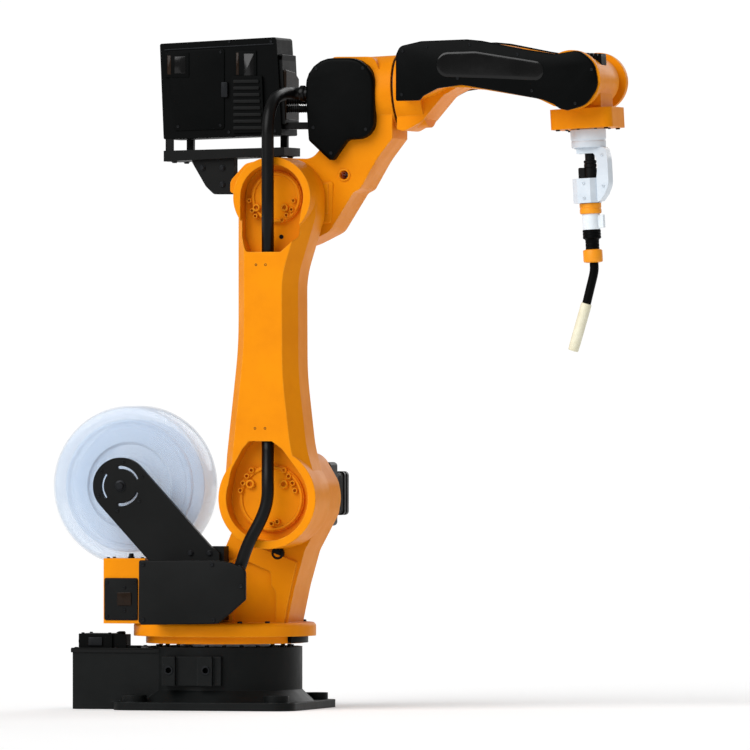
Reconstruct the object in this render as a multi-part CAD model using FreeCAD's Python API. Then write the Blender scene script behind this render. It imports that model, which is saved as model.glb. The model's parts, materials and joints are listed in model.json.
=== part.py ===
import FreeCAD, Part
import math
import os

# Six-axis arc-welding robot with its wire feeder, wire spool and torch.
# Millimetres. +Z is up, +X points to the front, where the torch hangs.
# The origin is on the turntable's axis, at floor level. The open side of
# the arm, with the hose, faces -Y and is called the near side.

V = FreeCAD.Vector
UP = V(0, 0, 1)
ACROSS = V(0, 1, 0)

# ---- joint centres (x, z) and clearances --------------------------------
shoulder_x = 140.0
shoulder_z = 430.0
arm_length = 610.0
forearm_reach = 608.0
forearm_rise = 235.0
elbow_x = shoulder_x + 10.0
elbow_z = shoulder_z + arm_length
wrist_x = elbow_x + forearm_reach
wrist_z = elbow_z + forearm_rise
forearm_pitch = 3.0
running_gap = 0.3
moving_gap = 5.0

# ---- base -----------------------------------------------------------------
base_radius = 158.0
base_height = 127.0
foot_half = 191.0
foot_corner = 40.0
foot_thick = 16.0
foot_flare = 24.0
rear_length = 290.0
rear_half = 115.0
rear_height = 115.0
bolt_half_x = 150.0
bolt_half_y = 150.0
bolt_hole = 9.0
bolt_boss = 26.0
bolt_boss_height = 30.0
neck_radius = 92.0

# ---- turntable ------------------------------------------------------------
ring_bottom = 134.0
ring_top = 149.0
ring_radius = 161.0
disc_radius = 186.0
disc_top = 176.5
post_near = -68.0
post_far = 70.0
housing_radius = 96.0
motor_square = 130.0
motor_flange_back = 120.0
cover_back = -222.0
motor_z = shoulder_z + 7.0

# ---- wire spool -----------------------------------------------------------
spool_x = -189.0
spool_z = 454.0
spool_cover_radius = 163.0
spool_cover_near = -54.0
spool_cover_far = 49.0
cover_wall = 2.5
spool_rim_radius = 135.0
spool_hub_radius = 88.0
axle_radius = 12.0
bracket_near = -116.0
bracket_far = -104.0
bracket_head = 58.0
bracket_slope = 47.4

# ---- lower arm --------------------------------------------------------------
arm_near = -185.0
arm_shoulder = -144.0
arm_back = -73.0
arm_chamfer = 23.0
lower_head = 102.0
upper_head = 81.0
pocket_floor = -142.0
lower_spigot = 70.0
upper_spigot = 52.0
spigot_depth = 12.0

# ---- hose -------------------------------------------------------------------
hose_radius = 12.5
hose_front = -202.5
hose_inner = -165.0
carrier_front = 20.0
hose_feed = 240.0
channel_radius = 16.0

# ---- elbow, feeder, forearm ------------------------------------------------
elbow_near = -60.0
elbow_far = 60.0
elbow_hub = 100.0
hub_flat = 79.0
roll_radius = 75.5
roll_spigot = 50.0
roll_front = elbow_x + 219.0
plate_face = -86.0
feeder_near = -60.0
feeder_far = 62.0
fork_inner = 102.0
fork_outer = 118.0
fork_cover = 126.0
fork_end = 60.0
fork_bearing = 25.0
throat_depth = 162.0

# ---- wrist and torch (distances below the wrist centre) ----------------------
drum_radius = 50.0
block_half = 64.5
block_top = 56.0
block_bottom = 97.0
block_corner = 17.0
flange_radius = 36.0
torch_axis = -3.0
clamp_top = 197.0
clamp_bottom = 247.0
neck_bend = 385.0
nozzle_start = (-21.6, 450.5)
nozzle_end = (-54.5, 544.0)
nozzle_radius = 11.0
neck_tube_radius = 9.0


# ---- helpers ----------------------------------------------------------------
def block(x0, x1, y0, y1, z0, z1):
    return Part.makeBox(x1 - x0, y1 - y0, z1 - z0, V(x0, y0, z0))


def rod(radius, start, end):
    along = end - start
    return Part.makeCylinder(radius, along.Length, start, along)


def disc_y(radius, x, z, y0, y1):
    """Cylinder across the robot, from y0 to y1."""
    return rod(radius, V(x, y0, z), V(x, y1, z))


def rounded_wire(corners, place):
    """Closed outline: each corner is (a, b) or (a, b, radius)."""
    spots = [place(c[0], c[1]) for c in corners]
    radii = [c[2] if len(c) > 2 else 0.0 for c in corners]
    count = len(spots)
    starts = []
    ends = []
    mids = []
    for i in range(count):
        here = spots[i]
        back = (spots[i - 1] - here).normalize()
        ahead = (spots[(i + 1) % count] - here).normalize()
        if radii[i] <= 0.0:
            starts.append(here)
            ends.append(here)
            mids.append(None)
            continue
        half = back.getAngle(ahead) / 2.0
        trim = radii[i] / math.tan(half)
        middle = (back + ahead).normalize()
        centre = here + middle * (radii[i] / math.sin(half))
        starts.append(here + back * trim)
        ends.append(here + ahead * trim)
        mids.append(centre - middle * radii[i])
    edges = []
    for i in range(count):
        if mids[i] is not None:
            edges.append(Part.Arc(starts[i], mids[i], ends[i]).toShape())
        after = starts[(i + 1) % count]
        if (after - ends[i]).Length > 1e-6:
            edges.append(Part.LineSegment(ends[i], after).toShape())
    return Part.Wire(edges)


def side_wire(corners, y):
    return rounded_wire(corners, lambda a, b: V(a, y, b))


def side_slab(corners, y0, y1):
    """Outline in x and z, carried from y0 to y1."""
    return Part.Face(side_wire(corners, y0)).extrude(ACROSS * (y1 - y0))


def flat_slab(corners, z0, z1):
    """Outline in x and y, carried from z0 to z1."""
    wire = rounded_wire(corners, lambda a, b: V(a, b, z0))
    return Part.Face(wire).extrude(UP * (z1 - z0))


def hose(points, radius):
    """Tube along straight runs joined by tangent arcs."""
    edges = []
    here = points[0]
    for i in range(1, len(points) - 1):
        corner = points[i]
        back = points[i - 1] - corner
        ahead = points[i + 1] - corner
        trim = 0.45 * min(back.Length, ahead.Length)
        back.normalize()
        ahead.normalize()
        half = back.getAngle(ahead) / 2.0
        bend = trim * math.tan(half)
        middle = (back + ahead).normalize()
        arc_mid = corner + middle * (bend / math.sin(half) - bend)
        first = corner + back * trim
        last = corner + ahead * trim
        edges.append(Part.LineSegment(here, first).toShape())
        edges.append(Part.Arc(first, arc_mid, last).toShape())
        here = last
    edges.append(Part.LineSegment(here, points[-1]).toShape())
    path = Part.Wire(edges)
    ring = Part.Circle(points[0], points[1] - points[0], radius).toShape()
    return path.makePipeShell([Part.Wire([ring])], True, False)


def moved_corners(corners, x, z):
    """Outline given from a centre, carried to where that centre is."""
    return [(c[0] + x, c[1] + z) + tuple(c[2:]) for c in corners]


def shoulder_slab(corners, y0, y1):
    return side_slab(moved_corners(corners, shoulder_x, shoulder_z), y0, y1)


def elbow_slab(corners, y0, y1):
    return side_slab(moved_corners(corners, elbow_x, elbow_z), y0, y1)


def wrist_slab(corners, y0, y1):
    return side_slab(moved_corners(corners, wrist_x, wrist_z), y0, y1)


def square_corners(half, radius):
    return [(-half, -half, radius), (half, -half, radius), (half, half, radius),
            (-half, half, radius)]


def pitched(shape):
    """Turns a piece drawn level, or hanging straight down, by the forearm's pitch."""
    turned = shape.copy()
    turned.rotate(V(wrist_x, 0, wrist_z), ACROSS, -forearm_pitch)
    return turned


def below(forward, depth, side=0.0):
    """Point given from the wrist centre: forward, depth below, sideways."""
    return V(wrist_x + forward, side, wrist_z - depth)


def mirrored(shape):
    return shape.mirror(V(0, 0, 0), ACROSS)


# ---- base -------------------------------------------------------------------
def foot_outline():
    r = foot_corner
    return [(foot_half, -foot_half, r), (foot_half, foot_half, r),
            (-foot_half, foot_half, r), (-foot_half, rear_half, 20.0),
            (-rear_length, rear_half, 8.0), (-rear_length, -rear_half, 8.0),
            (-foot_half, -rear_half, 20.0), (-foot_half, -foot_half, r)]


def base_casting():
    body = rod(base_radius, V(0, 0, 0), V(0, 0, base_height))
    cone = Part.makeCone(base_radius + foot_flare, base_radius, foot_flare,
                         V(0, 0, foot_thick), UP)
    body = body.fuse(cone)
    body = body.fuse(flat_slab(foot_outline(), 0, foot_thick))
    body = body.fuse(block(-rear_length, -60, -rear_half, rear_half, 0, rear_height))
    for x in (-bolt_half_x, bolt_half_x):
        for y in (-bolt_half_y, bolt_half_y):
            body = body.fuse(rod(bolt_boss, V(x, y, 0), V(x, y, bolt_boss_height)))
    for x in (-bolt_half_x, bolt_half_x):
        for y in (-bolt_half_y, bolt_half_y):
            body = body.cut(rod(bolt_hole, V(x, y, -1), V(x, y, bolt_boss_height + 1)))
    return body.removeSplitter()


def base_rear_lid():
    lid = block(-rear_length - 3, -100, -rear_half - 3, rear_half + 3,
                rear_height, rear_height + 8)
    return lid.cut(rod(base_radius + running_gap, V(0, 0, 0), V(0, 0, base_height)))


def swivel_bearing():
    return rod(neck_radius, V(0, 0, base_height), V(0, 0, ring_bottom - running_gap))


def side_pads(base):
    """Two threaded pads on a common back plate, on both flanks of the base."""
    back = block(-86, 38, -168, -120, 50, 109)
    pads = back.fuse(block(-83, -56, -178, -168, 50, 109))
    pads = pads.fuse(block(-9, 22, -178, -168, 50, 109))
    for x in (-69, 9):
        pads = pads.cut(rod(6.0, V(x, -180, 81), V(x, -158, 81)))
    near = pads.cut(rod(base_radius + running_gap, V(0, 0, 0), V(0, 0, base_height)))
    near = near.cut(base)
    return Part.makeCompound([near, mirrored(near)])


def connector_box():
    top = rear_height + 8
    return block(-283, -212, -95, -20, top, top + 30).fuse(
        block(-212, -206, -90, -25, top, top + 30))


def connector_blocks():
    top = rear_height + 8
    body = block(-206, -182, -95, -62, top, top + 29)
    body = body.fuse(block(-182, -160, -92, -62, top, top + 6))
    return body.fuse(rod(5.0, V(-196, -80, top + 29), V(-196, -80, top + 35)))


# ---- turntable --------------------------------------------------------------
def post_outline():
    top = moved_corners([(45, -107, 60), (86, -30, 40), (86, 30, 40), (50, 92, 40),
                         (-40, 92, 40), (-88, 40, 40), (-96, -40, 30)], shoulder_x, shoulder_z)
    return [(-120, disc_top), (149, disc_top), (157, 215), (165, 252)] + top + [
        (10, 311, 60), (-60, 282, 40), (-120, 250)]


def post_recess():
    return [(35, disc_top), (126, disc_top), (126, 240, 6), (117, 252, 6), (116, 280, 10),
            (71, 299, 20), (35, 306)]


def turntable_casting():
    disc = rod(disc_radius, V(0, 0, ring_top), V(0, 0, disc_top))
    rim = [e for e in disc.Edges if e.BoundBox.ZMin > disc_top - 0.01
           and e.BoundBox.ZLength < 0.01 and e.BoundBox.XLength > disc_radius]
    disc = disc.makeFillet(8.0, rim)
    body = disc.fuse(rod(ring_radius, V(0, 0, ring_bottom), V(0, 0, ring_top)))
    body = body.fuse(side_slab(post_outline(), -60, 60))
    for near, far, radius in ((post_near, -60, housing_radius), (60, post_far, 86)):
        body = body.fuse(disc_y(radius, shoulder_x, shoulder_z, near, far))
    foot = side_slab([(-110, disc_top - 1), (144, disc_top - 1), (151, 215), (170, 300),
                      (90, 330, 30), (-60, 262)], post_near, post_near + 10)
    body = body.fuse(foot.cut(side_slab(post_recess(), post_near - 1, post_near + 9)))
    bore = disc_y(lower_spigot + running_gap, shoulder_x, shoulder_z,
                  post_near - 1, post_near + spigot_depth)
    return body.cut(bore).removeSplitter()


def ring_guard():
    ring = rod(ring_radius + 9, V(0, 0, ring_bottom + 1), V(0, 0, ring_top))
    ring = ring.cut(rod(ring_radius + running_gap, V(0, 0, ring_bottom), V(0, 0, ring_top)))
    wedge = flat_slab([(0, 0), (240, -97), (260, 0), (160, 205)], ring_bottom, ring_top)
    return ring.common(wedge)


def rear_box():
    tall = block(-223, -135, -120, -60, disc_top - 2, 307)
    deep = block(-223, -135, -60, 60, disc_top - 2, 278)
    box = tall.fuse(deep)
    return box.cut(rod(disc_radius + 1, V(0, 0, 0), V(0, 0, disc_top + 1)))


def rear_panel():
    return side_slab([(-221, 181, 3), (-150, 181, 3), (-150, 267, 3), (-221, 267, 3)],
                     -123, -120)


def side_cover():
    """Large flat cover standing off the near side on its carrier."""
    return side_slab([(-117, 305, 3), (46, 305, 3), (76, 301, 3), (103, 290, 4), (107, 282, 5),
                      (107, 226, 5), (77, 200, 3), (48, 177, 4), (-112, 174, 4),
                      (-118, 180, 4)], cover_back - 8, cover_back)


def cover_carrier():
    return block(-104, carrier_front, cover_back, bracket_near, 182, 296)


def rear_frame():
    return side_slab([(-104, 182), (27, 182), (27, 332), (-4, 332), (-60, 286), (-104, 270)],
                     bracket_far, post_near)


def spool_bracket():
    """Slanted arm plate with a round head that carries the spool's axle."""
    slope = math.radians(bracket_slope)
    across = V(math.sin(slope), 0, math.cos(slope)) * bracket_head
    head = V(spool_x, 0, spool_z)
    upper = head + across
    lower = head - across
    foot_x = -104.0
    foot_z = lower.z - (foot_x - lower.x) * math.tan(slope)
    shoulder_end = upper.x + (upper.z - 332) / math.tan(slope)
    plate = side_slab([(lower.x, lower.z), (foot_x, foot_z), (foot_x, 200, 5),
                       (carrier_front, 200, 5), (carrier_front, 320, 4),
                       (shoulder_end, 332, 4), (upper.x, upper.z)], bracket_near, bracket_far)
    plate = plate.fuse(disc_y(bracket_head, spool_x, spool_z, bracket_near, bracket_far))
    for start in (25, 145, 265):
        plate = plate.cut(arc_slot(38.0, 6.0, start, start + 70))
    return plate.removeSplitter()


def arc_slot(radius, width, start, end):
    """Curved slot about the spool's centre, between two angles."""
    def spot(r, angle):
        turn = math.radians(angle)
        return V(spool_x + r * math.cos(turn), -118, spool_z + r * math.sin(turn))
    inner = radius - width / 2
    outer = radius + width / 2
    middle = (start + end) / 2
    edges = [Part.Arc(spot(inner, start), spot(inner, middle), spot(inner, end)).toShape(),
             Part.Arc(spot(inner, end), spot(radius, end + 5), spot(outer, end)).toShape(),
             Part.Arc(spot(outer, end), spot(outer, middle), spot(outer, start)).toShape(),
             Part.Arc(spot(outer, start), spot(radius, start - 5), spot(inner, start)).toShape()]
    return Part.Face(Part.Wire(edges)).extrude(ACROSS * 16)


def spool_axle():
    axle = disc_y(axle_radius, spool_x, spool_z, bracket_far, spool_cover_far - cover_wall)
    return axle.fuse(disc_y(22, spool_x, spool_z, bracket_far, spool_cover_near))


def spool_cover():
    """Clear closed drum round the spool."""
    outside = disc_y(spool_cover_radius, spool_x, spool_z, spool_cover_near, spool_cover_far)
    inside = disc_y(spool_cover_radius - cover_wall, spool_x, spool_z,
                    spool_cover_near + cover_wall, spool_cover_far - cover_wall)
    hole = disc_y(axle_radius, spool_x, spool_z, spool_cover_near - 1, spool_cover_near + 10)
    return outside.cut(inside).cut(hole)


def wire_spool():
    near = spool_cover_near + cover_wall + moving_gap
    far = spool_cover_far - cover_wall - moving_gap
    spool = disc_y(spool_hub_radius, spool_x, spool_z, near, far)
    spool = spool.cut(disc_y(spool_hub_radius - 4, spool_x, spool_z, near - 1, far - 4))
    for y in (near, far - 3):
        flange = disc_y(spool_rim_radius, spool_x, spool_z, y, y + 3)
        spool = spool.fuse(flange)
    spool = spool.cut(disc_y(spool_hub_radius - 14, spool_x, spool_z, near - 1, near + 4))
    spool = spool.fuse(disc_y(26, spool_x, spool_z, near, far))
    bore = disc_y(axle_radius + running_gap, spool_x, spool_z, near - 1, far + 1)
    return spool.cut(bore).removeSplitter()


def shoulder_motor():
    corners = moved_corners(square_corners(motor_square / 2, 8), shoulder_x, motor_z)
    return side_slab(corners, post_far, motor_flange_back)


def shoulder_motor_cap():
    corners = moved_corners(square_corners(44, 6), shoulder_x, motor_z)
    return side_slab(corners, motor_flange_back, 290)


# ---- lower arm ----------------------------------------------------------------
def arm_outline(inset):
    low = moved_corners([(-71 + inset, 310, 900), (-95 + inset, 90, 300), (-102 + inset, 0),
                         (102 - inset, 0), (72 - inset, 100, 300), (55 - inset, 250, 700)],
                        shoulder_x, shoulder_z)
    high = moved_corners([(44 - inset, -160, 200), (81 - inset, -40, 60), (81 - inset, 0),
                          (-81 + inset, 0)], elbow_x, elbow_z)
    return low + high


def shoulder_pocket():
    pocket = disc_y(86, shoulder_x, shoulder_z, arm_near - 1, pocket_floor)
    return pocket.fuse(shoulder_slab([(-38, 116, 6), (10, 116, 6), (32, 100, 14), (74, 45, 40),
                                      (86, 0), (-86, 0), (-76, 57, 40), (-52, 100, 14)],
                                     arm_near - 1, pocket_floor))


def elbow_pocket():
    pocket = disc_y(66, elbow_x, elbow_z, arm_near - 1, pocket_floor)
    return pocket.fuse(elbow_slab([(-66, 0), (-66, -80, 20), (-54, -111, 6), (18, -111, 6),
                                   (54, -80, 20), (66, 0)], arm_near - 1, pocket_floor))


def lower_arm_casting():
    wide = side_slab(arm_outline(0.0), arm_shoulder, arm_back)
    taper = Part.makeLoft([side_wire(arm_outline(0.0), arm_shoulder),
                           side_wire(arm_outline(arm_chamfer), arm_near)], True, True)
    body = wide.fuse(taper)
    body = body.fuse(disc_y(lower_head, shoulder_x, shoulder_z, arm_near, arm_back))
    body = body.fuse(disc_y(upper_head, elbow_x, elbow_z, arm_near, arm_back))
    body = body.cut(shoulder_pocket()).cut(elbow_pocket())
    channel = rod(channel_radius, hose_point(hose_inner, shoulder_z + 110),
                  hose_point(hose_inner, elbow_z - 105))
    body = body.cut(channel)
    for radius, x, z in ((lower_spigot, shoulder_x, shoulder_z),
                         (upper_spigot, elbow_x, elbow_z)):
        body = body.fuse(disc_y(radius, x, z, arm_back, arm_back + spigot_depth))
    return body.removeSplitter()


def gear_disc(x, z, radius):
    """Round bolted face at the bottom of an arm pocket."""
    return disc_y(radius, x, z, pocket_floor - 8, pocket_floor)


def hose_grommets():
    """Rubber rings that hold the hose in both ends of the arm's channel."""
    rings = []
    for z in (shoulder_z + 132, elbow_z - 140):
        ring = rod(channel_radius - 0.2, hose_point(hose_inner, z), hose_point(hose_inner, z + 14))
        rings.append(ring.cut(rod(hose_radius + 0.2, hose_point(hose_inner, z - 1),
                                  hose_point(hose_inner, z + 15))))
    return Part.makeCompound(rings)


# ---- hose along the arm ----------------------------------------------------------
def hose_point(y, z):
    """The hose leans with depth so that its runs stay in one slanted plane."""
    return V(shoulder_x - 47.76 - 0.268 * y, y, z)


def lower_conduit():
    """From the carrier's front face up to the arm's lower head."""
    return hose([V(carrier_front, -192, hose_feed), V(66, -192, hose_feed),
                 V(86, -200, hose_feed + 60), V(shoulder_x - 32, hose_front, shoulder_z - 82),
                 V(shoulder_x - 14, hose_front, shoulder_z - 42)], hose_radius)


def arm_conduit_low():
    return hose([hose_point(hose_front, shoulder_z + 28), hose_point(-187, shoulder_z + 68),
                 hose_point(hose_inner, shoulder_z + 101),
                 hose_point(hose_inner, shoulder_z + 190)], hose_radius)


def arm_conduit_high():
    return hose([hose_point(hose_inner, elbow_z - 190), hose_point(hose_inner, elbow_z - 96),
                 hose_point(-187, elbow_z - 64), hose_point(hose_front, elbow_z - 28)],
                hose_radius)


def upper_conduit():
    """From the arm's upper head up and inward to the elbow cover's rear edge."""
    rise = hose_point(hose_front, elbow_z + 28)
    middle = (plate_face + elbow_near) / 2
    top = elbow_z + 210
    return hose([rise, V(rise.x, hose_front, elbow_z + 165), V(elbow_x, -122, top),
                 V(elbow_x + 17, middle, top), V(elbow_x + 52, middle, top)], hose_radius)


# ---- elbow -------------------------------------------------------------------------
def elbow_outline():
    front = roll_front - elbow_x
    return [(0, -95), (48, -88, 30), (88, -68, 30), (137, 10, 12), (152, 18, 12),
            (186, 77, 200), (front, 120), (front, 200), (180, 286, 20), (90, 286, 12),
            (78, 110, 30), (50, hub_flat, 30), (-40, 82, 20), (-90, 70, 20), (-122, 35, 20),
            (-122, 12, 6), (-90, 0)]


def elbow_casting():
    body = elbow_slab(elbow_outline(), elbow_near, elbow_far)
    hub = disc_y(elbow_hub, elbow_x, elbow_z, elbow_near, elbow_far)
    body = body.fuse(hub.cut(block(elbow_x - 150, elbow_x + 150, elbow_near, elbow_far,
                                   elbow_z + hub_flat, elbow_z + 160)))
    body = body.fuse(disc_y(78, elbow_x, elbow_z, post_near, elbow_near))
    body = body.fuse(elbow_slab([(65, -25, 3), (86, -35, 3), (86, 30, 3), (65, 25, 3)],
                                elbow_near - 6, elbow_near))
    body = body.fuse(pitched(rod(roll_radius, V(elbow_x + 86, 0, wrist_z),
                                 V(roll_front, 0, wrist_z))))
    body = body.cut(disc_y(upper_spigot + running_gap, elbow_x, elbow_z, post_near - 1,
                           arm_back + spigot_depth + running_gap))
    body = body.cut(disc_y(9, elbow_x + 118, elbow_z + 46, elbow_near - 1, elbow_far + 1))
    socket = rod(roll_spigot + running_gap, V(roll_front - 14, 0, wrist_z),
                 V(roll_front + 5, 0, wrist_z))
    return body.cut(pitched(socket)).removeSplitter()


def elbow_side_cover(casting):
    """Deep plate cover on the flank of the elbow, hollowed over the roll housing."""
    plate = elbow_slab([(43, 283, 56), (188, 283, 54), (186, 120, 36), (130, 117, 14),
                        (97, 72, 8), (49, 116, 8), (47, 142, 20), (43, 208, 60)],
                       plate_face, elbow_near)
    housing = pitched(rod(roll_radius + running_gap, V(elbow_x - 50, 0, wrist_z),
                          V(elbow_x + 250, 0, wrist_z)))
    return plate.cut(housing).cut(casting)


def elbow_motor():
    """Elbow drive motor on the far flank."""
    flange_back = elbow_far + 14
    flange = elbow_slab(square_corners(52, 8), elbow_far, flange_back)
    return flange.fuse(elbow_slab(square_corners(43, 8), flange_back, 178))


# ---- feeder -------------------------------------------------------------------------
def feeder_bracket():
    return elbow_slab([(-206, 85), (-206, 73), (-199, 61, 8), (-177, 24, 20), (-160, 8, 8),
                       (-117, 8), (-117, 85)], -48, -22)


def feeder_rail():
    return elbow_slab([(-263, 75), (-111, 82), (-8, 86), (-8, 103), (-263, 97)],
                      feeder_near, feeder_far)


def feeder_posts():
    """Four short legs, from the rail's top to the feeder's floor."""
    def leg(x, y):
        corners = []
        for along in (x, x + leg_width):
            corners.append((along, 97 + (along + 263) * rail_slope))
        for along in (x + leg_width, x):
            corners.append((along, 120 + (along + 263) * floor_slope))
        return elbow_slab(corners, y, y + leg_width)
    leg_width = 14
    rail_slope = 6 / 255
    floor_slope = 8 / 249
    return Part.makeCompound([leg(-259, feeder_near), leg(-50, feeder_near),
                              leg(-245, feeder_far - 14), leg(-46, feeder_far - 14)])


def feeder_body():
    return elbow_slab([(-271, 315, 4), (-25, 327, 6), (-18, 216, 3), (-14, 128, 3),
                       (-263, 120, 4)], feeder_near, feeder_far)


def feeder_drive():
    return elbow_slab([(-117, 132, 3), (-49, 134, 3), (-53, 248, 3), (-117, 248, 3)],
                      feeder_near - 8, feeder_near)


def feeder_end_plate(body):
    plate = elbow_slab([(-34, 290), (-15, 290), (-8, 150), (-34, 150)],
                       feeder_near + 8, feeder_far - 8)
    return plate.cut(body)


def feeder_conduits():
    """Two cable bundles and a stay between the feeder and the elbow cover."""
    start = elbow_x - 25
    end = elbow_x + 65
    parts = rod(12, V(start, -30, elbow_z + 201), V(end, -30, elbow_z + 201))
    parts = parts.fuse(rod(8, V(start, -30, elbow_z + 181), V(end, -30, elbow_z + 181)))
    return parts.fuse(block(start, end, -40, 0, elbow_z + 140, elbow_z + 154))


# ---- forearm -------------------------------------------------------------------------
def fork_outline():
    return [(-359, -42, 6), (-308, -31, 20), (-270, -12, 20), (-198, -16, 200), (-68, -38, 60),
            (-36, -53, 10), (0, -fork_end), (0, fork_end), (-31, 50, 20), (-101, 60, 60),
            (-186, 76, 100), (-217, 80, 60), (-312, 76, 30), (-357, 66, 14)]


def forearm_casting():
    neck_start = roll_front + moving_gap
    arms = wrist_slab(fork_outline(), -fork_outer, fork_outer)
    arms = arms.fuse(disc_y(fork_end, wrist_x, wrist_z, -fork_outer, fork_outer))
    gap = block(wrist_x - throat_depth, wrist_x + 100, -fork_inner, fork_inner,
                wrist_z - 125, wrist_z + 125)
    body = arms.cut(gap)
    neck = pitched(rod(roll_radius, V(neck_start, 0, wrist_z), V(neck_start + 56, 0, wrist_z)))
    belly = wrist_slab([(-380, -97), (-365, -101, 20), (-328, -81, 40), (-283, -28, 40),
                        (-249, -10), (-249, 25), (-380, 25)], -56, 56)
    body = body.fuse(neck).fuse(belly)
    spigot = rod(roll_spigot, V(roll_front - 13, 0, wrist_z), V(neck_start + 26, 0, wrist_z))
    body = body.fuse(pitched(spigot))
    for side in (-1, 1):
        inner = side * (fork_inner - 5)
        outer = side * (fork_inner + 10)
        body = body.cut(disc_y(fork_bearing + running_gap, wrist_x, wrist_z,
                               min(inner, outer), max(inner, outer)))
    return body.removeSplitter()


def forearm_cover():
    """Long black cover on the flank of the forearm."""
    return wrist_slab([(-365, -41, 3), (-315, -40, 6), (-308, -31, 10), (-278, -16, 20),
                       (-228, -9, 40), (-158, -21, 60), (-58, -40, 30), (-36, -49, 12),
                       (-24, -58, 12), (-7, -62, 12), (32, -51, 40), (58, -13, 42), (49, 34, 40),
                       (18, 60, 30), (-31, 52, 20), (-101, 63, 60), (-186, 80, 60),
                       (-217, 83, 30), (-312, 80, 30), (-357, 70, 16), (-365, 52, 8)],
                      -fork_cover, -fork_outer)


def cover_panel():
    """Raised glossy panel with round ends on the long cover."""
    return wrist_slab([(-279, 7, 22), (-279, 57, 22), (-198, 59, 60), (-56, 36, 17),
                       (-56, -2, 17), (-158, 3, 60)], -fork_cover - 2, -fork_cover)


# ---- wrist ------------------------------------------------------------------------------
def wrist_body():
    drum = disc_y(drum_radius, wrist_x, wrist_z, -fork_inner + 20, fork_inner - 20)
    for side in (-1, 1):
        outer = side * (fork_inner + 9)
        inner = side * (fork_inner - 20)
        drum = drum.fuse(disc_y(fork_bearing, wrist_x, wrist_z, min(inner, outer), max(inner, outer)))
    neck = block(wrist_x - 42, wrist_x + 42, -50, 50, wrist_z - block_top - 2, wrist_z)
    plate = flat_slab(moved_corners(square_corners(block_half, block_corner), wrist_x, 0),
                      wrist_z - block_bottom, wrist_z - block_top)
    return pitched(drum.fuse(neck).fuse(plate)).removeSplitter()


def wrist_cable_cover():
    top = block(wrist_x, wrist_x + 42, -22, 22, wrist_z + 20, wrist_z + 57)
    return pitched(top.cut(disc_y(drum_radius + running_gap, wrist_x, wrist_z, -60, 60)))


def tool_flange():
    upper = rod(flange_radius, below(0, block_bottom + running_gap), below(0, 119))
    return pitched(upper.fuse(rod(flange_radius - 1, below(0, 119), below(0, 135))))


def torch_bracket():
    """C-shaped bracket from the flange, down in front of the torch, to its clamp."""
    corners = [(-22, -135), (38, -135, 8), (42, -159, 60), (42, -212, 40), (33, -231, 4),
               (22, -245, 3), (17, -245), (17, -clamp_top, 4), (21, -168, 40), (14, -147, 6),
               (-22, -147)]
    return pitched(wrist_slab(corners, -19, 19))


def torch_cable():
    """Stub of the torch cable, with its thicker coupling above the clamp."""
    cable = rod(10, below(torch_axis + 3, 147), below(torch_axis + 3, clamp_top))
    cable = cable.fuse(rod(13, below(torch_axis + 4, 160), below(torch_axis + 4, clamp_top)))
    block_back = wrist_x + torch_axis - 20
    return pitched(cable.fuse(block(block_back, block_back + 14, -9, 9,
                                    wrist_z - clamp_top, wrist_z - 175)))


def torch_clamp():
    """Eight-sided clamp body that grips the torch."""
    back = wrist_x - 34
    front = wrist_x + 17
    side = 27
    corner = 12
    return pitched(flat_slab([(back, -side + corner), (back + corner, -side),
                              (front - corner, -side), (front, -side + corner),
                              (front, side - corner), (front - corner, side),
                              (back + corner, side), (back, side - corner)],
                             wrist_z - clamp_bottom, wrist_z - clamp_top))


def torch_sleeve(radius, top, bottom):
    return pitched(rod(radius, below(torch_axis, top), below(torch_axis, bottom)))


def torch_grip():
    grip = rod(18, below(torch_axis, 269), below(torch_axis, 301))
    lug = block(wrist_x, wrist_x + 24, -8, 8, wrist_z - 298, wrist_z - 272)
    return pitched(grip.fuse(lug))


def torch_collar():
    collar = rod(18.5, below(torch_axis, 301), below(torch_axis, 320))
    return pitched(collar.fuse(rod(14, below(torch_axis, 320), below(torch_axis, 341))))


def gooseneck():
    """Neck tube with one bend, from the nut to the nozzle."""
    start = below(torch_axis + 1.5, 368)
    bend = below(torch_axis + 1.5, neck_bend)
    end = below(nozzle_start[0], nozzle_start[1])
    return pitched(hose([start, bend, end], neck_tube_radius))


def nozzle():
    start = below(nozzle_start[0], nozzle_start[1])
    end = below(nozzle_end[0], nozzle_end[1])
    along = (end - start).normalize()
    shell = rod(nozzle_radius, start, end)
    return pitched(shell.cut(rod(nozzle_radius - 3.0, start + along * 18, end + along * 2)))


def contact_tip():
    start = below(nozzle_start[0], nozzle_start[1])
    end = below(nozzle_end[0], nozzle_end[1])
    along = (end - start).normalize()
    return pitched(rod(4.0, start + along * 18, end - along * 3))


# ---- build ------------------------------------------------------------------------------
def write(name, shape):
    shape.exportStep("parts/" + name + ".step")
    print(name, len(shape.Solids), round(shape.Volume / 1000), "cm3", shape.isValid())


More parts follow.
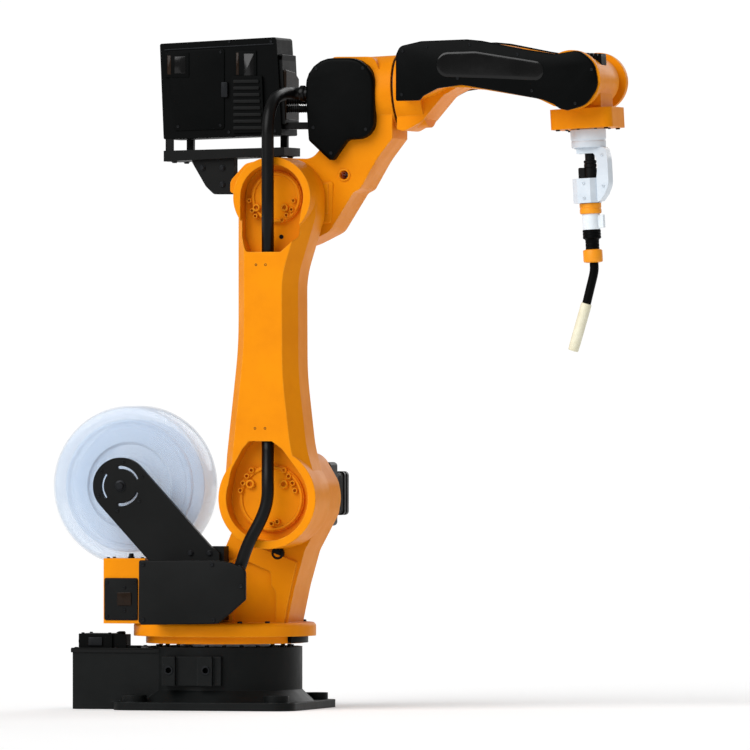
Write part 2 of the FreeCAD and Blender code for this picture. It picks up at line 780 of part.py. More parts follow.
def build():
    os.makedirs("parts", exist_ok=True)
    base = base_casting()
    write("base_casting", base)
    write("base_rear_lid", base_rear_lid())
    write("swivel_bearing", swivel_bearing())
    write("base_side_pads", side_pads(base))
    write("connector_box", connector_box())
    write("connector_blocks", connector_blocks())

    turntable = turntable_casting()
    write("turntable_casting", turntable)
    write("ring_guard", ring_guard())
    write("rear_box", rear_box().cut(turntable))
    write("rear_panel", rear_panel())
    write("side_cover", side_cover())
    write("cover_carrier", cover_carrier())
    write("rear_frame", rear_frame().cut(turntable))
    write("spool_bracket", spool_bracket())
    write("spool_axle", spool_axle())
    write("spool_cover", spool_cover())
    write("wire_spool", wire_spool())
    write("shoulder_motor", shoulder_motor())
    write("shoulder_motor_cap", shoulder_motor_cap())

    write("lower_arm_casting", lower_arm_casting())
    write("shoulder_gear_disc", gear_disc(shoulder_x, shoulder_z, 68))
    write("elbow_gear_disc", gear_disc(elbow_x, elbow_z, 53))
    write("hose_grommets", hose_grommets())
    write("lower_conduit", lower_conduit())
    write("arm_conduit_low", arm_conduit_low())
    write("arm_conduit_high", arm_conduit_high())

    elbow = elbow_casting()
    write("elbow_casting", elbow)
    cover = elbow_side_cover(elbow)
    write("elbow_side_cover", cover)
    write("elbow_far_cover", mirrored(cover))
    write("elbow_motor", elbow_motor())
    write("upper_conduit", upper_conduit().cut(cover))
    rail = feeder_rail().cut(elbow)
    write("feeder_bracket", feeder_bracket().cut(elbow).cut(rail))
    write("feeder_rail", rail)
    write("feeder_posts", feeder_posts())
    feeder = feeder_body()
    end_plate = feeder_end_plate(feeder)
    write("feeder_body", feeder)
    write("feeder_drive", feeder_drive())
    write("feeder_end_plate", end_plate)
    write("feeder_conduits", feeder_conduits().cut(feeder).cut(end_plate).cut(elbow).cut(cover))

    write("forearm_casting", forearm_casting())
    write("forearm_cover", forearm_cover())
    write("forearm_far_cover", mirrored(forearm_cover()))
    write("cover_panel", cover_panel())

    write("wrist_body", wrist_body())
    write("wrist_cable_cover", wrist_cable_cover())
    write("tool_flange", tool_flange())
    write("torch_bracket", torch_bracket())
    write("torch_cable", torch_cable())
    write("torch_clamp", torch_clamp())
    write("torch_ring", torch_sleeve(22, clamp_bottom, 269))
    write("torch_grip", torch_grip())
    write("torch_collar", torch_collar())
    write("torch_nut", torch_sleeve(20, 341, 368))
    neck = gooseneck()
    write("gooseneck", neck)
    write("nozzle", nozzle().cut(neck))
    write("contact_tip", contact_tip())


build()
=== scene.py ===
# %% [markdown]
# # An arc-welding robot arm
# The imported CAD model is the frame: real sizes, real joints. Everything below gives it its looks.
# First come the imports, the CAD model and the places of its joints, before anything is added.
# New pieces are worked out in millimetres, as a maker would, and turned to metres at the end.

# %% Load the frame
import json
import math
import bmesh
import bpy
import numpy as np
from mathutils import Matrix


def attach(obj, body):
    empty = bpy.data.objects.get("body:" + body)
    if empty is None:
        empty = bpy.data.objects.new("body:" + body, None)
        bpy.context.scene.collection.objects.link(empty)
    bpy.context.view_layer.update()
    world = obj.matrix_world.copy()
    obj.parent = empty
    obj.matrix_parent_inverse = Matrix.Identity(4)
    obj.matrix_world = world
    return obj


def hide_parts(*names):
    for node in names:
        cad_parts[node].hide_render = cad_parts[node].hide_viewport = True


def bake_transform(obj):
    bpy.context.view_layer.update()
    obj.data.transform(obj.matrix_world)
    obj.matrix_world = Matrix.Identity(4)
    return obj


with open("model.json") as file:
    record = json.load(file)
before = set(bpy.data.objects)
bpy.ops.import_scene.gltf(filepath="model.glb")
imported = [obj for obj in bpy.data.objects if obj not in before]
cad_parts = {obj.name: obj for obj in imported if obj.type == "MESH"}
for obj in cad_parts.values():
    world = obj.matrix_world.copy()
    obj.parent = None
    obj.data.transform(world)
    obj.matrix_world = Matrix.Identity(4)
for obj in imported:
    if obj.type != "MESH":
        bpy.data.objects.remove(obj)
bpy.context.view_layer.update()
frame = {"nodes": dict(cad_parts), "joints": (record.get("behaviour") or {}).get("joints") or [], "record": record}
mm = 0.001
joint_places = {j["name"]: np.array(j["pos_m"]) / mm for j in frame["joints"]}
shoulder = joint_places["shoulder"]
elbow = joint_places["elbow"]
wrist = joint_places["wrist_bend"]
spool = joint_places["spool_spin"]
forearm_pitch = math.radians(3.0)

# %% [markdown]
# ## Camera, floor and lights
# A long lens from far away keeps upright edges nearly parallel, as in a catalogue picture.
# It could be an orthographic camera, but a 600 mm lens leaves a trace of depth, which looks natural.

# %% Camera
def put_camera(target, distance, azimuth, lens):
    """A level camera on a circle round the target: azimuth 0 looks along +Y."""
    turn = math.radians(azimuth)
    data = bpy.data.cameras.new("camera")
    data.lens = lens
    data.sensor_width = 36.0
    data.clip_end = 200.0
    camera = bpy.data.objects.new("camera", data)
    camera.location = (target[0] + distance * math.sin(turn),
                       target[1] - distance * math.cos(turn), target[2])
    camera.rotation_euler = (math.radians(90.0), 0.0, turn)
    bpy.context.scene.collection.objects.link(camera)
    bpy.context.scene.camera = camera
    return camera


camera = put_camera(target=(0.2956, 0.0792, 0.680), distance=25.5, azimuth=15.0, lens=600.0)
bpy.context.scene.view_settings.view_transform = "Standard"
print("the camera stands at", tuple(camera.location))

# %% [markdown]
# Colours are written as sRGB hex codes, the way a paint chart gives them, and one function turns
# them to the linear values that shaders work in. Another adds a node with its settings and links,
# so that a finish reads as a short list of what feeds what.

# %% Colour and node helpers
def srgb(code):
    """Each channel c becomes c / 12.92 when dark, else ((c + 0.055) / 1.055) to the power 2.4."""
    parts = [int(code[i:i + 2], 16) / 255.0 for i in (0, 2, 4)]
    return tuple(c / 12.92 if c <= 0.04045 else ((c + 0.055) / 1.055) ** 2.4 for c in parts) + (1.0,)


def add(tree, kind, inputs, **settings):
    """Adds one node; an input that is another node's socket is linked, any other value is set."""
    node = tree.nodes.new(kind)
    for name, value in settings.items():
        setattr(node, name, value)
    for name, value in inputs.items():
        if isinstance(value, bpy.types.NodeSocket):
            tree.links.new(value, node.inputs[name])
        else:
            node.inputs[name].default_value = value
    return node


print("orange in linear light:", srgb("F39C18"))

# %% [markdown]
# One broad soft sun stands front left and gives the near faces their full colour. A weak one behind
# keeps the back readable. Suns light the floor evenly all the way out, where lamps would fade.
# The studio is white where the lens sees it, but sheds less light, so that shaded sides stay deep.

# %% Lights, studio and floor
def put_sun(name, heading, strength, softness):
    """A sun that shines from the heading (x, y, z); softness is its width in degrees."""
    data = bpy.data.lights.new(name, "SUN")
    data.energy = strength
    data.angle = math.radians(softness)
    lamp = bpy.data.objects.new(name, data)
    x, y, z = heading
    lamp.rotation_euler = (math.atan2(math.hypot(x, y), z), 0.0, math.atan2(y, x) + math.pi / 2)
    bpy.context.scene.collection.objects.link(lamp)
    return lamp


def put_studio(seen, shed):
    """White surroundings: the lens sees one strength, and surfaces are lit by the other."""
    world = bpy.data.worlds.new("studio")
    world.use_nodes = True
    tree = world.node_tree
    ray = add(tree, "ShaderNodeLightPath", {})
    strength = add(tree, "ShaderNodeMapRange", {"Value": ray.outputs["Is Camera Ray"],
                                                "To Min": shed, "To Max": seen})
    back = tree.nodes["Background"]
    back.inputs["Color"].default_value = (1.0, 1.0, 1.0, 1.0)
    tree.links.new(strength.outputs["Result"], back.inputs["Strength"])
    bpy.context.scene.world = world
    return world


def put_floor(half):
    """A flat square round the robot, a hair under its foot plate."""
    mesh = bpy.data.meshes.new("floor")
    corners = [(-half, -half, -0.0005), (half, -half, -0.0005), (half, half, -0.0005),
               (-half, half, -0.0005)]
    mesh.from_pydata(corners, [], [(0, 1, 2, 3)])
    floor = bpy.data.objects.new("floor", mesh)
    bpy.context.scene.collection.objects.link(floor)
    return floor


put_sun("key_sun", (-0.42, -0.80, 0.62), 2.6, 50.0)
put_sun("back_sun", (0.25, 0.90, 0.45), 0.9, 40.0)
put_studio(seen=1.02, shed=0.34)
floor = put_floor(40.0)
print("two suns, a white studio and an 80 m floor")

# %% [markdown]
# ## Shape helpers
# Almost every part of a machine is a plate with a rounded rim, a turned piece, or a tube. Each of
# these is one surface of two parameters, so that numpy can work out all its points at once.
# Modelling them by hand would work too, but a formula keeps sizes exact and easy to change.

# %% Grids and outlines
def grid_faces(rows, columns, wrap_rows=False):
    """Quads between neighbouring rows and columns; the columns always close on themselves."""
    last = rows if wrap_rows else rows - 1
    row, column = np.meshgrid(np.arange(last), np.arange(columns), indexing="ij")
    after_row = (row + 1) % rows
    after_column = (column + 1) % columns
    quads = np.stack([row * columns + column, row * columns + after_column,
                      after_row * columns + after_column, after_row * columns + column], -1)
    return quads.reshape(-1, 4).tolist()


def capped(rows, columns):
    """A grid's quads with one flat face over its first row and one over its last."""
    first = list(range(columns))
    last = list(range((rows - 1) * columns, rows * columns))
    return grid_faces(rows, columns) + [first[::-1], last]


def outline(corners, centre=(0.0, 0.0), steps=7):
    """Closed line through the corners (a, b, radius): each corner turns along a circle that
    touches both its sides, at radius / tan(half the angle) from the corner."""
    spots = np.array([c[:2] for c in corners], float)
    back = np.roll(spots, 1, 0) - spots
    ahead = np.roll(spots, -1, 0) - spots
    back /= np.linalg.norm(back, axis=1)[:, None]
    ahead /= np.linalg.norm(ahead, axis=1)[:, None]
    half = np.arccos(np.clip((back * ahead).sum(1), -1, 1)) / 2
    radius = np.array([c[2] if len(c) > 2 else 0.3 for c in corners], float)
    middle = back + ahead
    middle /= np.linalg.norm(middle, axis=1)[:, None]
    hub = spots + middle * (radius / np.sin(half))[:, None]
    start = spots + back * (radius / np.tan(half))[:, None] - hub
    end = spots + ahead * (radius / np.tan(half))[:, None] - hub
    share = np.linspace(0, 1, steps)[None, :, None]
    arc = start[:, None] * (1 - share) + end[:, None] * share
    arc *= radius[:, None, None] / np.linalg.norm(arc, axis=2)[:, :, None]
    return (hub[:, None] + arc).reshape(-1, 2) + np.array(centre)


def rim(back, front, radius, steps=5):
    """Pairs (inset, depth) from a plate's back, along its side and round its front edge."""
    turn = np.linspace(0, math.pi / 2, steps)
    toward = math.copysign(1.0, front - back)
    bend = [(radius * (1 - math.cos(t)), front - toward * radius * (1 - math.sin(t))) for t in turn]
    return [(0.0, back)] + bend


print("a square with round corners has", len(outline([(0, 0, 2), (9, 0, 2), (9, 9, 2), (0, 9, 2)])),
      "points")

# %% [markdown]
# A plate carries its outline along a short profile: back face, side, rounded edge, front face.
# A turned piece swings a profile round an axis. A tube carries a circle along a path.

# %% Plates, turned pieces, tubes and blocks
def plate(line, profile, plane="xz"):
    """Ring k of the grid is the outline moved inwards by the profile's inset k, at its depth k."""
    ahead = np.roll(line, -1, 0) - np.roll(line, 1, 0)
    normal = np.stack([ahead[:, 1], -ahead[:, 0]], 1)
    normal /= np.linalg.norm(normal, axis=1)[:, None]
    area = np.sum(line[:, 0] * np.roll(line[:, 1], -1) - np.roll(line[:, 0], -1) * line[:, 1])
    inwards = -normal * math.copysign(1.0, area)
    profile = np.array(profile, float)
    flat = line[None] + inwards[None] * profile[:, 0][:, None, None]
    depth = np.broadcast_to(profile[:, 1][:, None], flat.shape[:2])
    order = {"xz": (flat[..., 0], depth, flat[..., 1]), "xy": (flat[..., 0], flat[..., 1], depth),
             "yz": (depth, flat[..., 0], flat[..., 1])}[plane]
    points = np.stack(order, -1).reshape(-1, 3)
    return points, capped(len(profile), len(line))


def frame_round(axis):
    """The axis and two directions square to it."""
    axis = np.array(axis, float) / np.linalg.norm(axis)
    helper = np.array([0.0, 0.0, 1.0]) if abs(axis[2]) < 0.9 else np.array([1.0, 0.0, 0.0])
    first = np.cross(helper, axis)
    first /= np.linalg.norm(first)
    return axis, first, np.cross(axis, first)


def turned(profile, centre, axis, columns=48, hollow=False, start=0.0):
    """Point (k, t) is the centre + height k * axis + radius k * (cos t, sin t) round the axis."""
    axis, first, second = frame_round(axis)
    profile = np.array(profile, float)
    turn = start + np.linspace(0, 2 * math.pi, columns, endpoint=False)
    ring = np.cos(turn)[:, None] * first + np.sin(turn)[:, None] * second
    points = (np.array(centre, float) + profile[:, 1][:, None, None] * axis
              + profile[:, 0][:, None, None] * ring[None])
    faces = grid_faces(len(profile), columns, True) if hollow else capped(len(profile), columns)
    return points.reshape(-1, 3), faces


def smooth_path(points, rounds=4):
    """Cuts each corner at a quarter and three quarters of its sides, several times over."""
    path = np.array(points, float)
    for _ in range(rounds):
        early = path[:-1] * 0.75 + path[1:] * 0.25
        late = path[:-1] * 0.25 + path[1:] * 0.75
        path = np.concatenate([path[:1], np.stack([early, late], 1).reshape(-1, 3), path[-1:]])
    return path


def tube(path, radius, columns=28):
    """Circles square to the path: one radius of each points square to the path and to +Y."""
    ahead = np.gradient(path, axis=0)
    ahead /= np.linalg.norm(ahead, axis=1)[:, None]
    first = np.cross(ahead, np.array([0.0, 1.0, 0.0]))
    first /= np.linalg.norm(first, axis=1)[:, None]
    second = np.cross(ahead, first)
    turn = np.linspace(0, 2 * math.pi, columns, endpoint=False)
    radius = np.broadcast_to(np.array(radius, float), (len(path),))
    ring = (np.cos(turn)[None, :, None] * first[:, None]
            + np.sin(turn)[None, :, None] * second[:, None])
    points = path[:, None] + ring * radius[:, None, None]
    return points.reshape(-1, 3), capped(len(path), columns)


def joined(shapes):
    """Several shapes as one: each shape's face numbers move on by the points before it."""
    points = np.concatenate([s[0] for s in shapes])
    offsets = np.cumsum([0] + [len(s[0]) for s in shapes[:-1]])
    faces = [[int(i) + int(o) for i in face] for s, o in zip(shapes, offsets) for face in s[1]]
    return points, faces


def pitched(shape):
    """Turns a shape about the wrist by the forearm's pitch, as the CAD model does."""
    points, faces = shape
    away = points - wrist
    c, s = math.cos(forearm_pitch), math.sin(forearm_pitch)
    x = c * away[:, 0] - s * away[:, 2]
    z = s * away[:, 0] + c * away[:, 2]
    return np.stack([x, away[:, 1], z], 1) + wrist, faces


def mirrored(shape):
    """The same shape on the other side of the robot."""
    return shape[0] * np.array([1.0, -1.0, 1.0]), shape[1]


print("the shape helpers are ready")

# %% [markdown]
# A finished shape becomes a mesh once: doubles are merged, faces are turned outwards, and edges
# sharper than 30 degrees stay sharp. It then rides the body that it is bolted to.

# %% Shapes become pieces
looks = {}


def piece(name, shape, body, finish, stands_for=(), sharp=30.0):
    """Makes the mesh in metres, gives it its finish and hands it to its moving body."""
    mesh = bpy.data.meshes.new(name)
    mesh.from_pydata((shape[0] * mm).tolist(), [], shape[1])
    work = bmesh.new()
    work.from_mesh(mesh)
    bmesh.ops.remove_doubles(work, verts=work.verts, dist=1e-6)
    bmesh.ops.recalc_face_normals(work, faces=work.faces)
    work.to_mesh(mesh)
    work.free()
    mesh.polygons.foreach_set("use_smooth", [True] * len(mesh.polygons))
    mesh.set_sharp_from_angle(angle=math.radians(sharp))
    mesh.materials.append(looks[finish])
    thing = bpy.data.objects.new(name, mesh)
    bpy.context.scene.collection.objects.link(thing)
    if stands_for:
        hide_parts(*stands_for)
    if body is not None:
        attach(thing, body)
    return thing


print("pieces can be made")

# %% [markdown]
# ## Finishes
# Paint, powder coat and moulded plastic share one recipe. Broad, faint patches keep a large face
# from looking flat, as dust, handling and a sprayed coat do. A fine grain in the bump gives the
# feel of the surface. A Bevel node rounds every edge by a millimetre or two, and where it bends
# the normal away from the true one there is an edge: there a lighter colour is painted in patches,
# partly worn paint and partly a painted highlight that stands for the edge catching light.
# An image texture could do the same, but a procedural one has no seams and no fixed resolution.

# %% The shared recipe for coats and plastics
# Edges get a lighter colour in patches: partly worn paint, partly a painted highlight.
edge_patch_width = 7.0  # millimetres across a worn patch on an edge
swell_width = 28.0  # millimetres between the slow waves of a cast skin


def coated(name, colour, dusty, worn_and_highlight, roughness, grain, grain_height, edge=1.5, wear_and_highlight=0.5,
           waves=0.0, patch=90.0, coat=0.0, specular=0.5):
    """Sizes are in millimetres: grain and patch are pattern widths, edge is the rounding."""
    material = bpy.data.materials.new(name)
    material.use_nodes = True
    tree = material.node_tree
    shader = tree.nodes["Principled BSDF"]
    place = add(tree, "ShaderNodeTexCoord", {}).outputs["Object"]
    patches = add(tree, "ShaderNodeTexNoise", {"Vector": place, "Scale": 1000.0 / patch,
                                                "Detail": 5.0, "Roughness": 0.6})
    cloudy = add(tree, "ShaderNodeMapRange", {"Value": patches.outputs["Fac"], "From Min": 0.35,
                                               "From Max": 0.75})
    body = add(tree, "ShaderNodeMix", {"Factor": cloudy.outputs["Result"], 6: srgb(colour),
                                        7: srgb(dusty)}, data_type="RGBA")
    round_edge = add(tree, "ShaderNodeBevel", {"Radius": edge * mm}, samples=4)
    true = add(tree, "ShaderNodeNewGeometry", {})
    turn = add(tree, "ShaderNodeVectorMath", {0: round_edge.outputs["Normal"],
                                               1: true.outputs["Normal"]}, operation="DOT_PRODUCT")
    edge_patches = add(tree, "ShaderNodeTexNoise", {"Vector": place, "Scale": 1000.0 / edge_patch_width,
                                              "Detail": 4.0})
    chance = add(tree, "ShaderNodeMapRange", {"Value": edge_patches.outputs["Fac"], "From Min": 0.3,
                                               "From Max": 0.7, "To Max": wear_and_highlight})
    # Where the Bevel normal turns from the true one, the lighter edge colour goes in: wear and a painted
    # highlight.
    rubbed_and_highlit_edges = add(tree, "ShaderNodeMapRange", {"Value": turn.outputs["Value"], "From Min": 0.985,
                                               "From Max": 0.82, "To Max": 1.0})
    worn_and_highlight_share = add(tree, "ShaderNodeMath", {0: rubbed_and_highlit_edges.outputs["Result"],
                                               1: chance.outputs["Result"]}, operation="MULTIPLY")
    paint = add(tree, "ShaderNodeMix", {"Factor": worn_and_highlight_share.outputs["Value"],
                                         6: body.outputs[2], 7: srgb(worn_and_highlight)}, data_type="RGBA")
    fine = add(tree, "ShaderNodeTexNoise", {"Vector": place, "Scale": 1000.0 / grain,
                                             "Detail": 2.0})
    gloss = add(tree, "ShaderNodeMapRange", {"Value": patches.outputs["Fac"], "From Min": 0.3,
                                              "From Max": 0.7, "To Min": roughness - 0.07,
                                              "To Max": roughness + 0.08})
    soft = add(tree, "ShaderNodeTexNoise", {"Vector": place, "Scale": 1000.0 / swell_width,
                                             "Detail": 1.0})
    swell = add(tree, "ShaderNodeBump", {"Height": soft.outputs["Fac"], "Distance": waves * mm,
                                          "Normal": round_edge.outputs["Normal"]})
    relief = add(tree, "ShaderNodeBump", {"Height": fine.outputs["Fac"],
                                           "Distance": grain_height * mm,
                                           "Normal": swell.outputs["Normal"]})
    tree.links.new(paint.outputs[2], shader.inputs["Base Color"])
    tree.links.new(gloss.outputs["Result"], shader.inputs["Roughness"])
    tree.links.new(relief.outputs["Normal"], shader.inputs["Normal"])
    shader.inputs["Coat Weight"].default_value = coat
    shader.inputs["Coat Roughness"].default_value = 0.12
    shader.inputs["Specular IOR Level"].default_value = specular
    return material


print("the coat recipe is ready")

# %% [markdown]
# The castings wear orange two-pack enamel, sprayed over a cast skin that still shows as a slow
# swell. The base has the same enamel in black. Sheet covers are powder coated, which dries with a
# fine orange peel. Covers on the elbow and forearm are moulded ABS with an etched grain.

# %% Paints and plastics
looks.update({
    # sprayed two-pack enamel on cast aluminium: satin, with faintly rubbed edges that carry a painted highlight
    "orange_paint": coated("orange enamel on a casting", "E88C08", "DD8107", "FFBE4A", 0.4,
                           grain=1.6, grain_height=0.05, edge=3.0, wear_and_highlight=0.7, waves=0.5,
                           specular=0.05),
    # the same enamel in black on cast iron
    "base_paint": coated("black enamel on cast iron", "0C0E0E", "121414", "3C3F40", 0.46,
                         grain=1.6, grain_height=0.07, edge=2.5, wear_and_highlight=0.6, waves=0.6, specular=0.1),
    # baked powder coat on steel sheet: even, with orange peel about a millimetre wide
    "black_sheet": coated("black powder coat on sheet", "0D0E0E", "131414", "363838", 0.5,
                          grain=1.1, grain_height=0.06, edge=1.0, wear_and_highlight=0.5, specular=0.1),
    # injection-moulded ABS with an etched grain
    "black_plastic": coated("moulded black ABS", "020303", "060707", "222525", 0.42,
                            grain=0.9, grain_height=0.05, edge=2.0, wear_and_highlight=0.35, waves=0.25,
                            specular=0.05),
    # polished acrylic: dark and mirror-like, with faint wipe marks
    "gloss_black": coated("polished black acrylic", "010101", "020202", "1A1C1C", 0.12,
                          grain=12.0, grain_height=0.01, edge=1.5, wear_and_highlight=0.3, specular=0.3),
    # coarse powder coat on the feeder's housing
    "feeder_black": coated("coarse powder coat", "020303", "060707", "202322", 0.48,
                           grain=1.8, grain_height=0.09, edge=1.2, wear_and_highlight=0.5, specular=0.05),
    # enamel on the motors' cast housings
    "motor_black": coated("motor enamel", "080808", "0E0E0E", "303030", 0.42,
                          grain=1.5, grain_height=0.06, edge=1.5, wear_and_highlight=0.5, waves=0.2, specular=0.12),
    # extruded rubber: matt, a little dusty
    "hose_rubber": coated("extruded rubber", "020202", "060606", "121212", 0.36,
                          grain=1.2, grain_height=0.05, edge=0.5, wear_and_highlight=0.2, patch=40.0,
                          specular=0.16),
    # light grey enamel on the torch's mount
    "pale_metal": coated("pale enamel on aluminium", "D2DCE5", "C6D1DB", "F2F6FA", 0.4,
                         grain=1.2, grain_height=0.03, edge=1.2, wear_and_highlight=0.5, patch=30.0, coat=0.2),
    # moulded polyamide, nearly white
    "pale_plastic": coated("moulded pale polyamide", "E1E8EE", "D5DEE6", "FAFCFE", 0.45,
                           grain=0.9, grain_height=0.03, edge=1.0, wear_and_highlight=0.4, patch=30.0),
    # moulded polyamide in the robot's orange
    "orange_plastic": coated("moulded orange polyamide", "EC9614", "E48C10", "FFC45A", 0.42,
                             grain=0.9, grain_height=0.04, edge=1.0, wear_and_highlight=0.5, patch=25.0,
                             specular=0.3),
    # ceramic-coated nozzle: cream, slightly sooted in patches
    "nozzle_cream": coated("cream ceramic coat", "E2DEC6", "D0CAAC", "F2EFE0", 0.5,
                           grain=1.0, grain_height=0.04, edge=0.8, wear_and_highlight=0.4, patch=22.0),
    # smoked window in the feeder's end and in the rear panel
    "smoked_window": coated("smoked polycarbonate", "1A0F06", "26170A", "3A2816", 0.2,
                            grain=9.0, grain_height=0.01, edge=0.8, wear_and_highlight=0.3, patch=30.0,
                            specular=0.15),
})
print(len(looks), "painted and moulded finishes")

# %% [markdown]
# Turned steel and copper show the lathe's fine rings as streaks that run round the part, so their
# gloss changes quickly along one direction and slowly along the other.
# The spool and its cover are blow-moulded clear plastic. Light passes through their walls, so
# they are mostly transparent, with a faint blue body and a sharp reflection.

# %% Metals and clear plastics
def machined(name, colour, dark, roughness, streak):
    """Bare metal whose streaks are stretched a hundred times round the part's own length."""
    material = bpy.data.materials.new(name)
    material.use_nodes = True
    tree = material.node_tree
    shader = tree.nodes["Principled BSDF"]
    place = add(tree, "ShaderNodeTexCoord", {}).outputs["Object"]
    long = add(tree, "ShaderNodeMapping", {"Vector": place, "Scale": streak})
    lines = add(tree, "ShaderNodeTexNoise", {"Vector": long.outputs["Vector"], "Scale": 900.0,
                                              "Detail": 3.0})
    stain = add(tree, "ShaderNodeTexNoise", {"Vector": place, "Scale": 45.0, "Detail": 4.0})
    tone = add(tree, "ShaderNodeMix", {"Factor": stain.outputs["Fac"], 6: srgb(colour),
                                        7: srgb(dark)}, data_type="RGBA")
    gloss = add(tree, "ShaderNodeMapRange", {"Value": lines.outputs["Fac"], "From Min": 0.3,
                                              "From Max": 0.7, "To Min": roughness - 0.1,
                                              "To Max": roughness + 0.1})
    round_edge = add(tree, "ShaderNodeBevel", {"Radius": 0.8 * mm}, samples=4)
    relief = add(tree, "ShaderNodeBump", {"Height": lines.outputs["Fac"], "Distance": 0.02 * mm,
                                           "Normal": round_edge.outputs["Normal"]})
    tree.links.new(tone.outputs[2], shader.inputs["Base Color"])
    tree.links.new(gloss.outputs["Result"], shader.inputs["Roughness"])
    tree.links.new(relief.outputs["Normal"], shader.inputs["Normal"])
    shader.inputs["Metallic"].default_value = 1.0
    return material


def clear(name, colour, tint, opacity, roughness):
    """Thin clear walls: the opacity is the share of light that a wall keeps."""
    material = bpy.data.materials.new(name)
    material.use_nodes = True
    tree = material.node_tree
    shader = tree.nodes["Principled BSDF"]
    place = add(tree, "ShaderNodeTexCoord", {}).outputs["Object"]
    haze = add(tree, "ShaderNodeTexNoise", {"Vector": place, "Scale": 14.0, "Detail": 3.0})
    tone = add(tree, "ShaderNodeMix", {"Factor": haze.outputs["Fac"], 6: srgb(colour),
                                        7: srgb(tint)}, data_type="RGBA")
    gloss = add(tree, "ShaderNodeMapRange", {"Value": haze.outputs["Fac"], "To Min": roughness,
                                              "To Max": roughness + 0.15})
    ripple = add(tree, "ShaderNodeTexNoise", {"Vector": place, "Scale": 40.0, "Detail": 1.0})
    relief = add(tree, "ShaderNodeBump", {"Height": ripple.outputs["Fac"], "Distance": 0.3 * mm})
    tree.links.new(tone.outputs[2], shader.inputs["Base Color"])
    tree.links.new(gloss.outputs["Result"], shader.inputs["Roughness"])
    tree.links.new(relief.outputs["Normal"], shader.inputs["Normal"])
    shader.inputs["Alpha"].default_value = opacity
    shader.inputs["IOR"].default_value = 1.58
    return material


looks["bare_steel"] = machined("turned steel", "A9ABAE", "8A8C90", 0.34, (1.0, 60.0, 1.0))
looks["copper_tip"] = machined("turned copper", "C07A4E", "9A5A38", 0.32, (1.0, 1.0, 60.0))
looks["dark_steel"] = machined("blackened steel screws", "2A2B2D", "1A1B1C", 0.4, (1.0, 1.0, 1.0))
looks["clear_plastic"] = clear("clear blow-moulded cover", "D3E4F6", "BCD4F0", 0.24, 0.06)
looks["spool_plastic"] = clear("milky spool plastic", "E0ECFB", "D0E2F6", 0.4, 0.2)
print(len(looks), "finishes in all")

# %% [markdown]
# Every CAD piece now takes the finish of its slot in the record. The floor gets a plain matt paint
# with the faintest unevenness. It glows a little, as a studio's lit sweep does, so that it meets
# the white background without a line.

# %% Finishes on the frame
slots = {s["node"]: s["material_slot"] for s in frame["record"]["subparts"]}
for name, node in frame["nodes"].items():
    node.data.materials.clear()
    node.data.materials.append(looks[slots[name]])
floor.data.materials.append(coated("matt floor paint", "F7F7F7", "F5F5F5", "F7F7F7", 0.85,
                                   grain=4.0, grain_height=0.01, wear_and_highlight=0.0, specular=0.1))
glow = floor.data.materials[0].node_tree.nodes["Principled BSDF"]
glow.inputs["Emission Color"].default_value = (1.0, 1.0, 1.0, 1.0)
glow.inputs["Emission Strength"].default_value = 0.16
print(len(frame["nodes"]), "CAD pieces have their finish")

# %% [markdown]
# ## Screws and bolts
# A socket head is a turned profile with a hole in its top. A hexagon head is the same surface with
# only six columns, on a round washer. Many of them share one mesh, because they never move apart.

# %% Screw heads
def socket_head(spot, axis, radius, height):
    """Profile (radius, height): up the side, over a chamfer, and down into the socket."""
    profile = [(radius, -1.0), (radius, height * 0.8), (radius * 0.88, height),
               (radius * 0.55, height), (radius * 0.5, height * 0.35)]
    return turned(profile, spot, axis, columns=20)


def hexagon_head(spot, axis, radius, height):
    """A washer a third wider than the head, then six flats with a chamfered top."""
    washer = turned([(radius * 1.3, -1.0), (radius * 1.3, 1.2), (radius * 1.2, 1.7)], spot, axis, 24)
    head = turned([(radius, 1.0), (radius, height * 0.85), (radius * 0.86, height)], spot, axis, 6,
                  start=0.3)
    return joined([washer, head])


def heads_at(spots, axis, size, kind=socket_head):
    """The same head at every spot; size is its radius and height."""
    return joined([kind(spot, axis, *size) for spot in spots])


def round_pattern(centre, axis, radius, count, start=0.0, kind=socket_head, size=(3.0, 3.0)):
    """Heads spaced evenly on a circle round the centre."""
    axis, first, second = frame_round(axis)
    turn = start + np.arange(count) * 2 * math.pi / count
    spots = np.array(centre, float) + radius * (np.cos(turn)[:, None] * first
                                                + np.sin(turn)[:, None] * second)
    return heads_at(spots, axis, size, kind)


near = (0.0, -1.0, 0.0)
far = (0.0, 1.0, 0.0)
up = (0.0, 0.0, 1.0)
down = (0.0, 0.0, -1.0)
print("a ring of six screws has", len(round_pattern((0, 0, 0), up, 10, 6)[0]), "points")

# %% [markdown]
# ## Side cover, rear panel and spool bracket
# The large side cover is folded sheet, so its rim is rounded and its screws sit close to the rim.
# A plain slab would show knife edges; the rounded profile is what makes it read as a pressed part.

# %% Side cover and rear panel
cover_line = outline([(-117, 305, 4), (46, 305, 6), (76, 301, 6), (103, 290, 6), (107, 282, 6),
                      (107, 226, 6), (77, 200, 4), (48, 177, 5), (-112, 174, 5), (-118, 180, 5)])
piece("side_cover_sheet", plate(cover_line, rim(-222.0, -230.0, 3.0)), "turntable", "black_sheet",
      ["side_cover"])
cover_spots = [(x, -230.0, z)
               for x, z in ((-108, 297), (37, 297), (98, 253), (40, 184), (-108, 184))]
cover_peg = turned([(4.0, 0), (4.0, 7), (2.5, 8.5)], (96, -226, 287), up, 20)
piece("side_cover_screws", joined([heads_at(cover_spots, near, (4.2, 2.6)), cover_peg]),
      "turntable", "dark_steel")
panel_line = outline([(-221, 181, 4), (-150, 181, 4), (-150, 267, 4), (-221, 267, 4)])
piece("rear_panel_sheet", plate(panel_line, rim(-120.0, -123.0, 1.5)), "turntable", "black_sheet",
      ["rear_panel"])
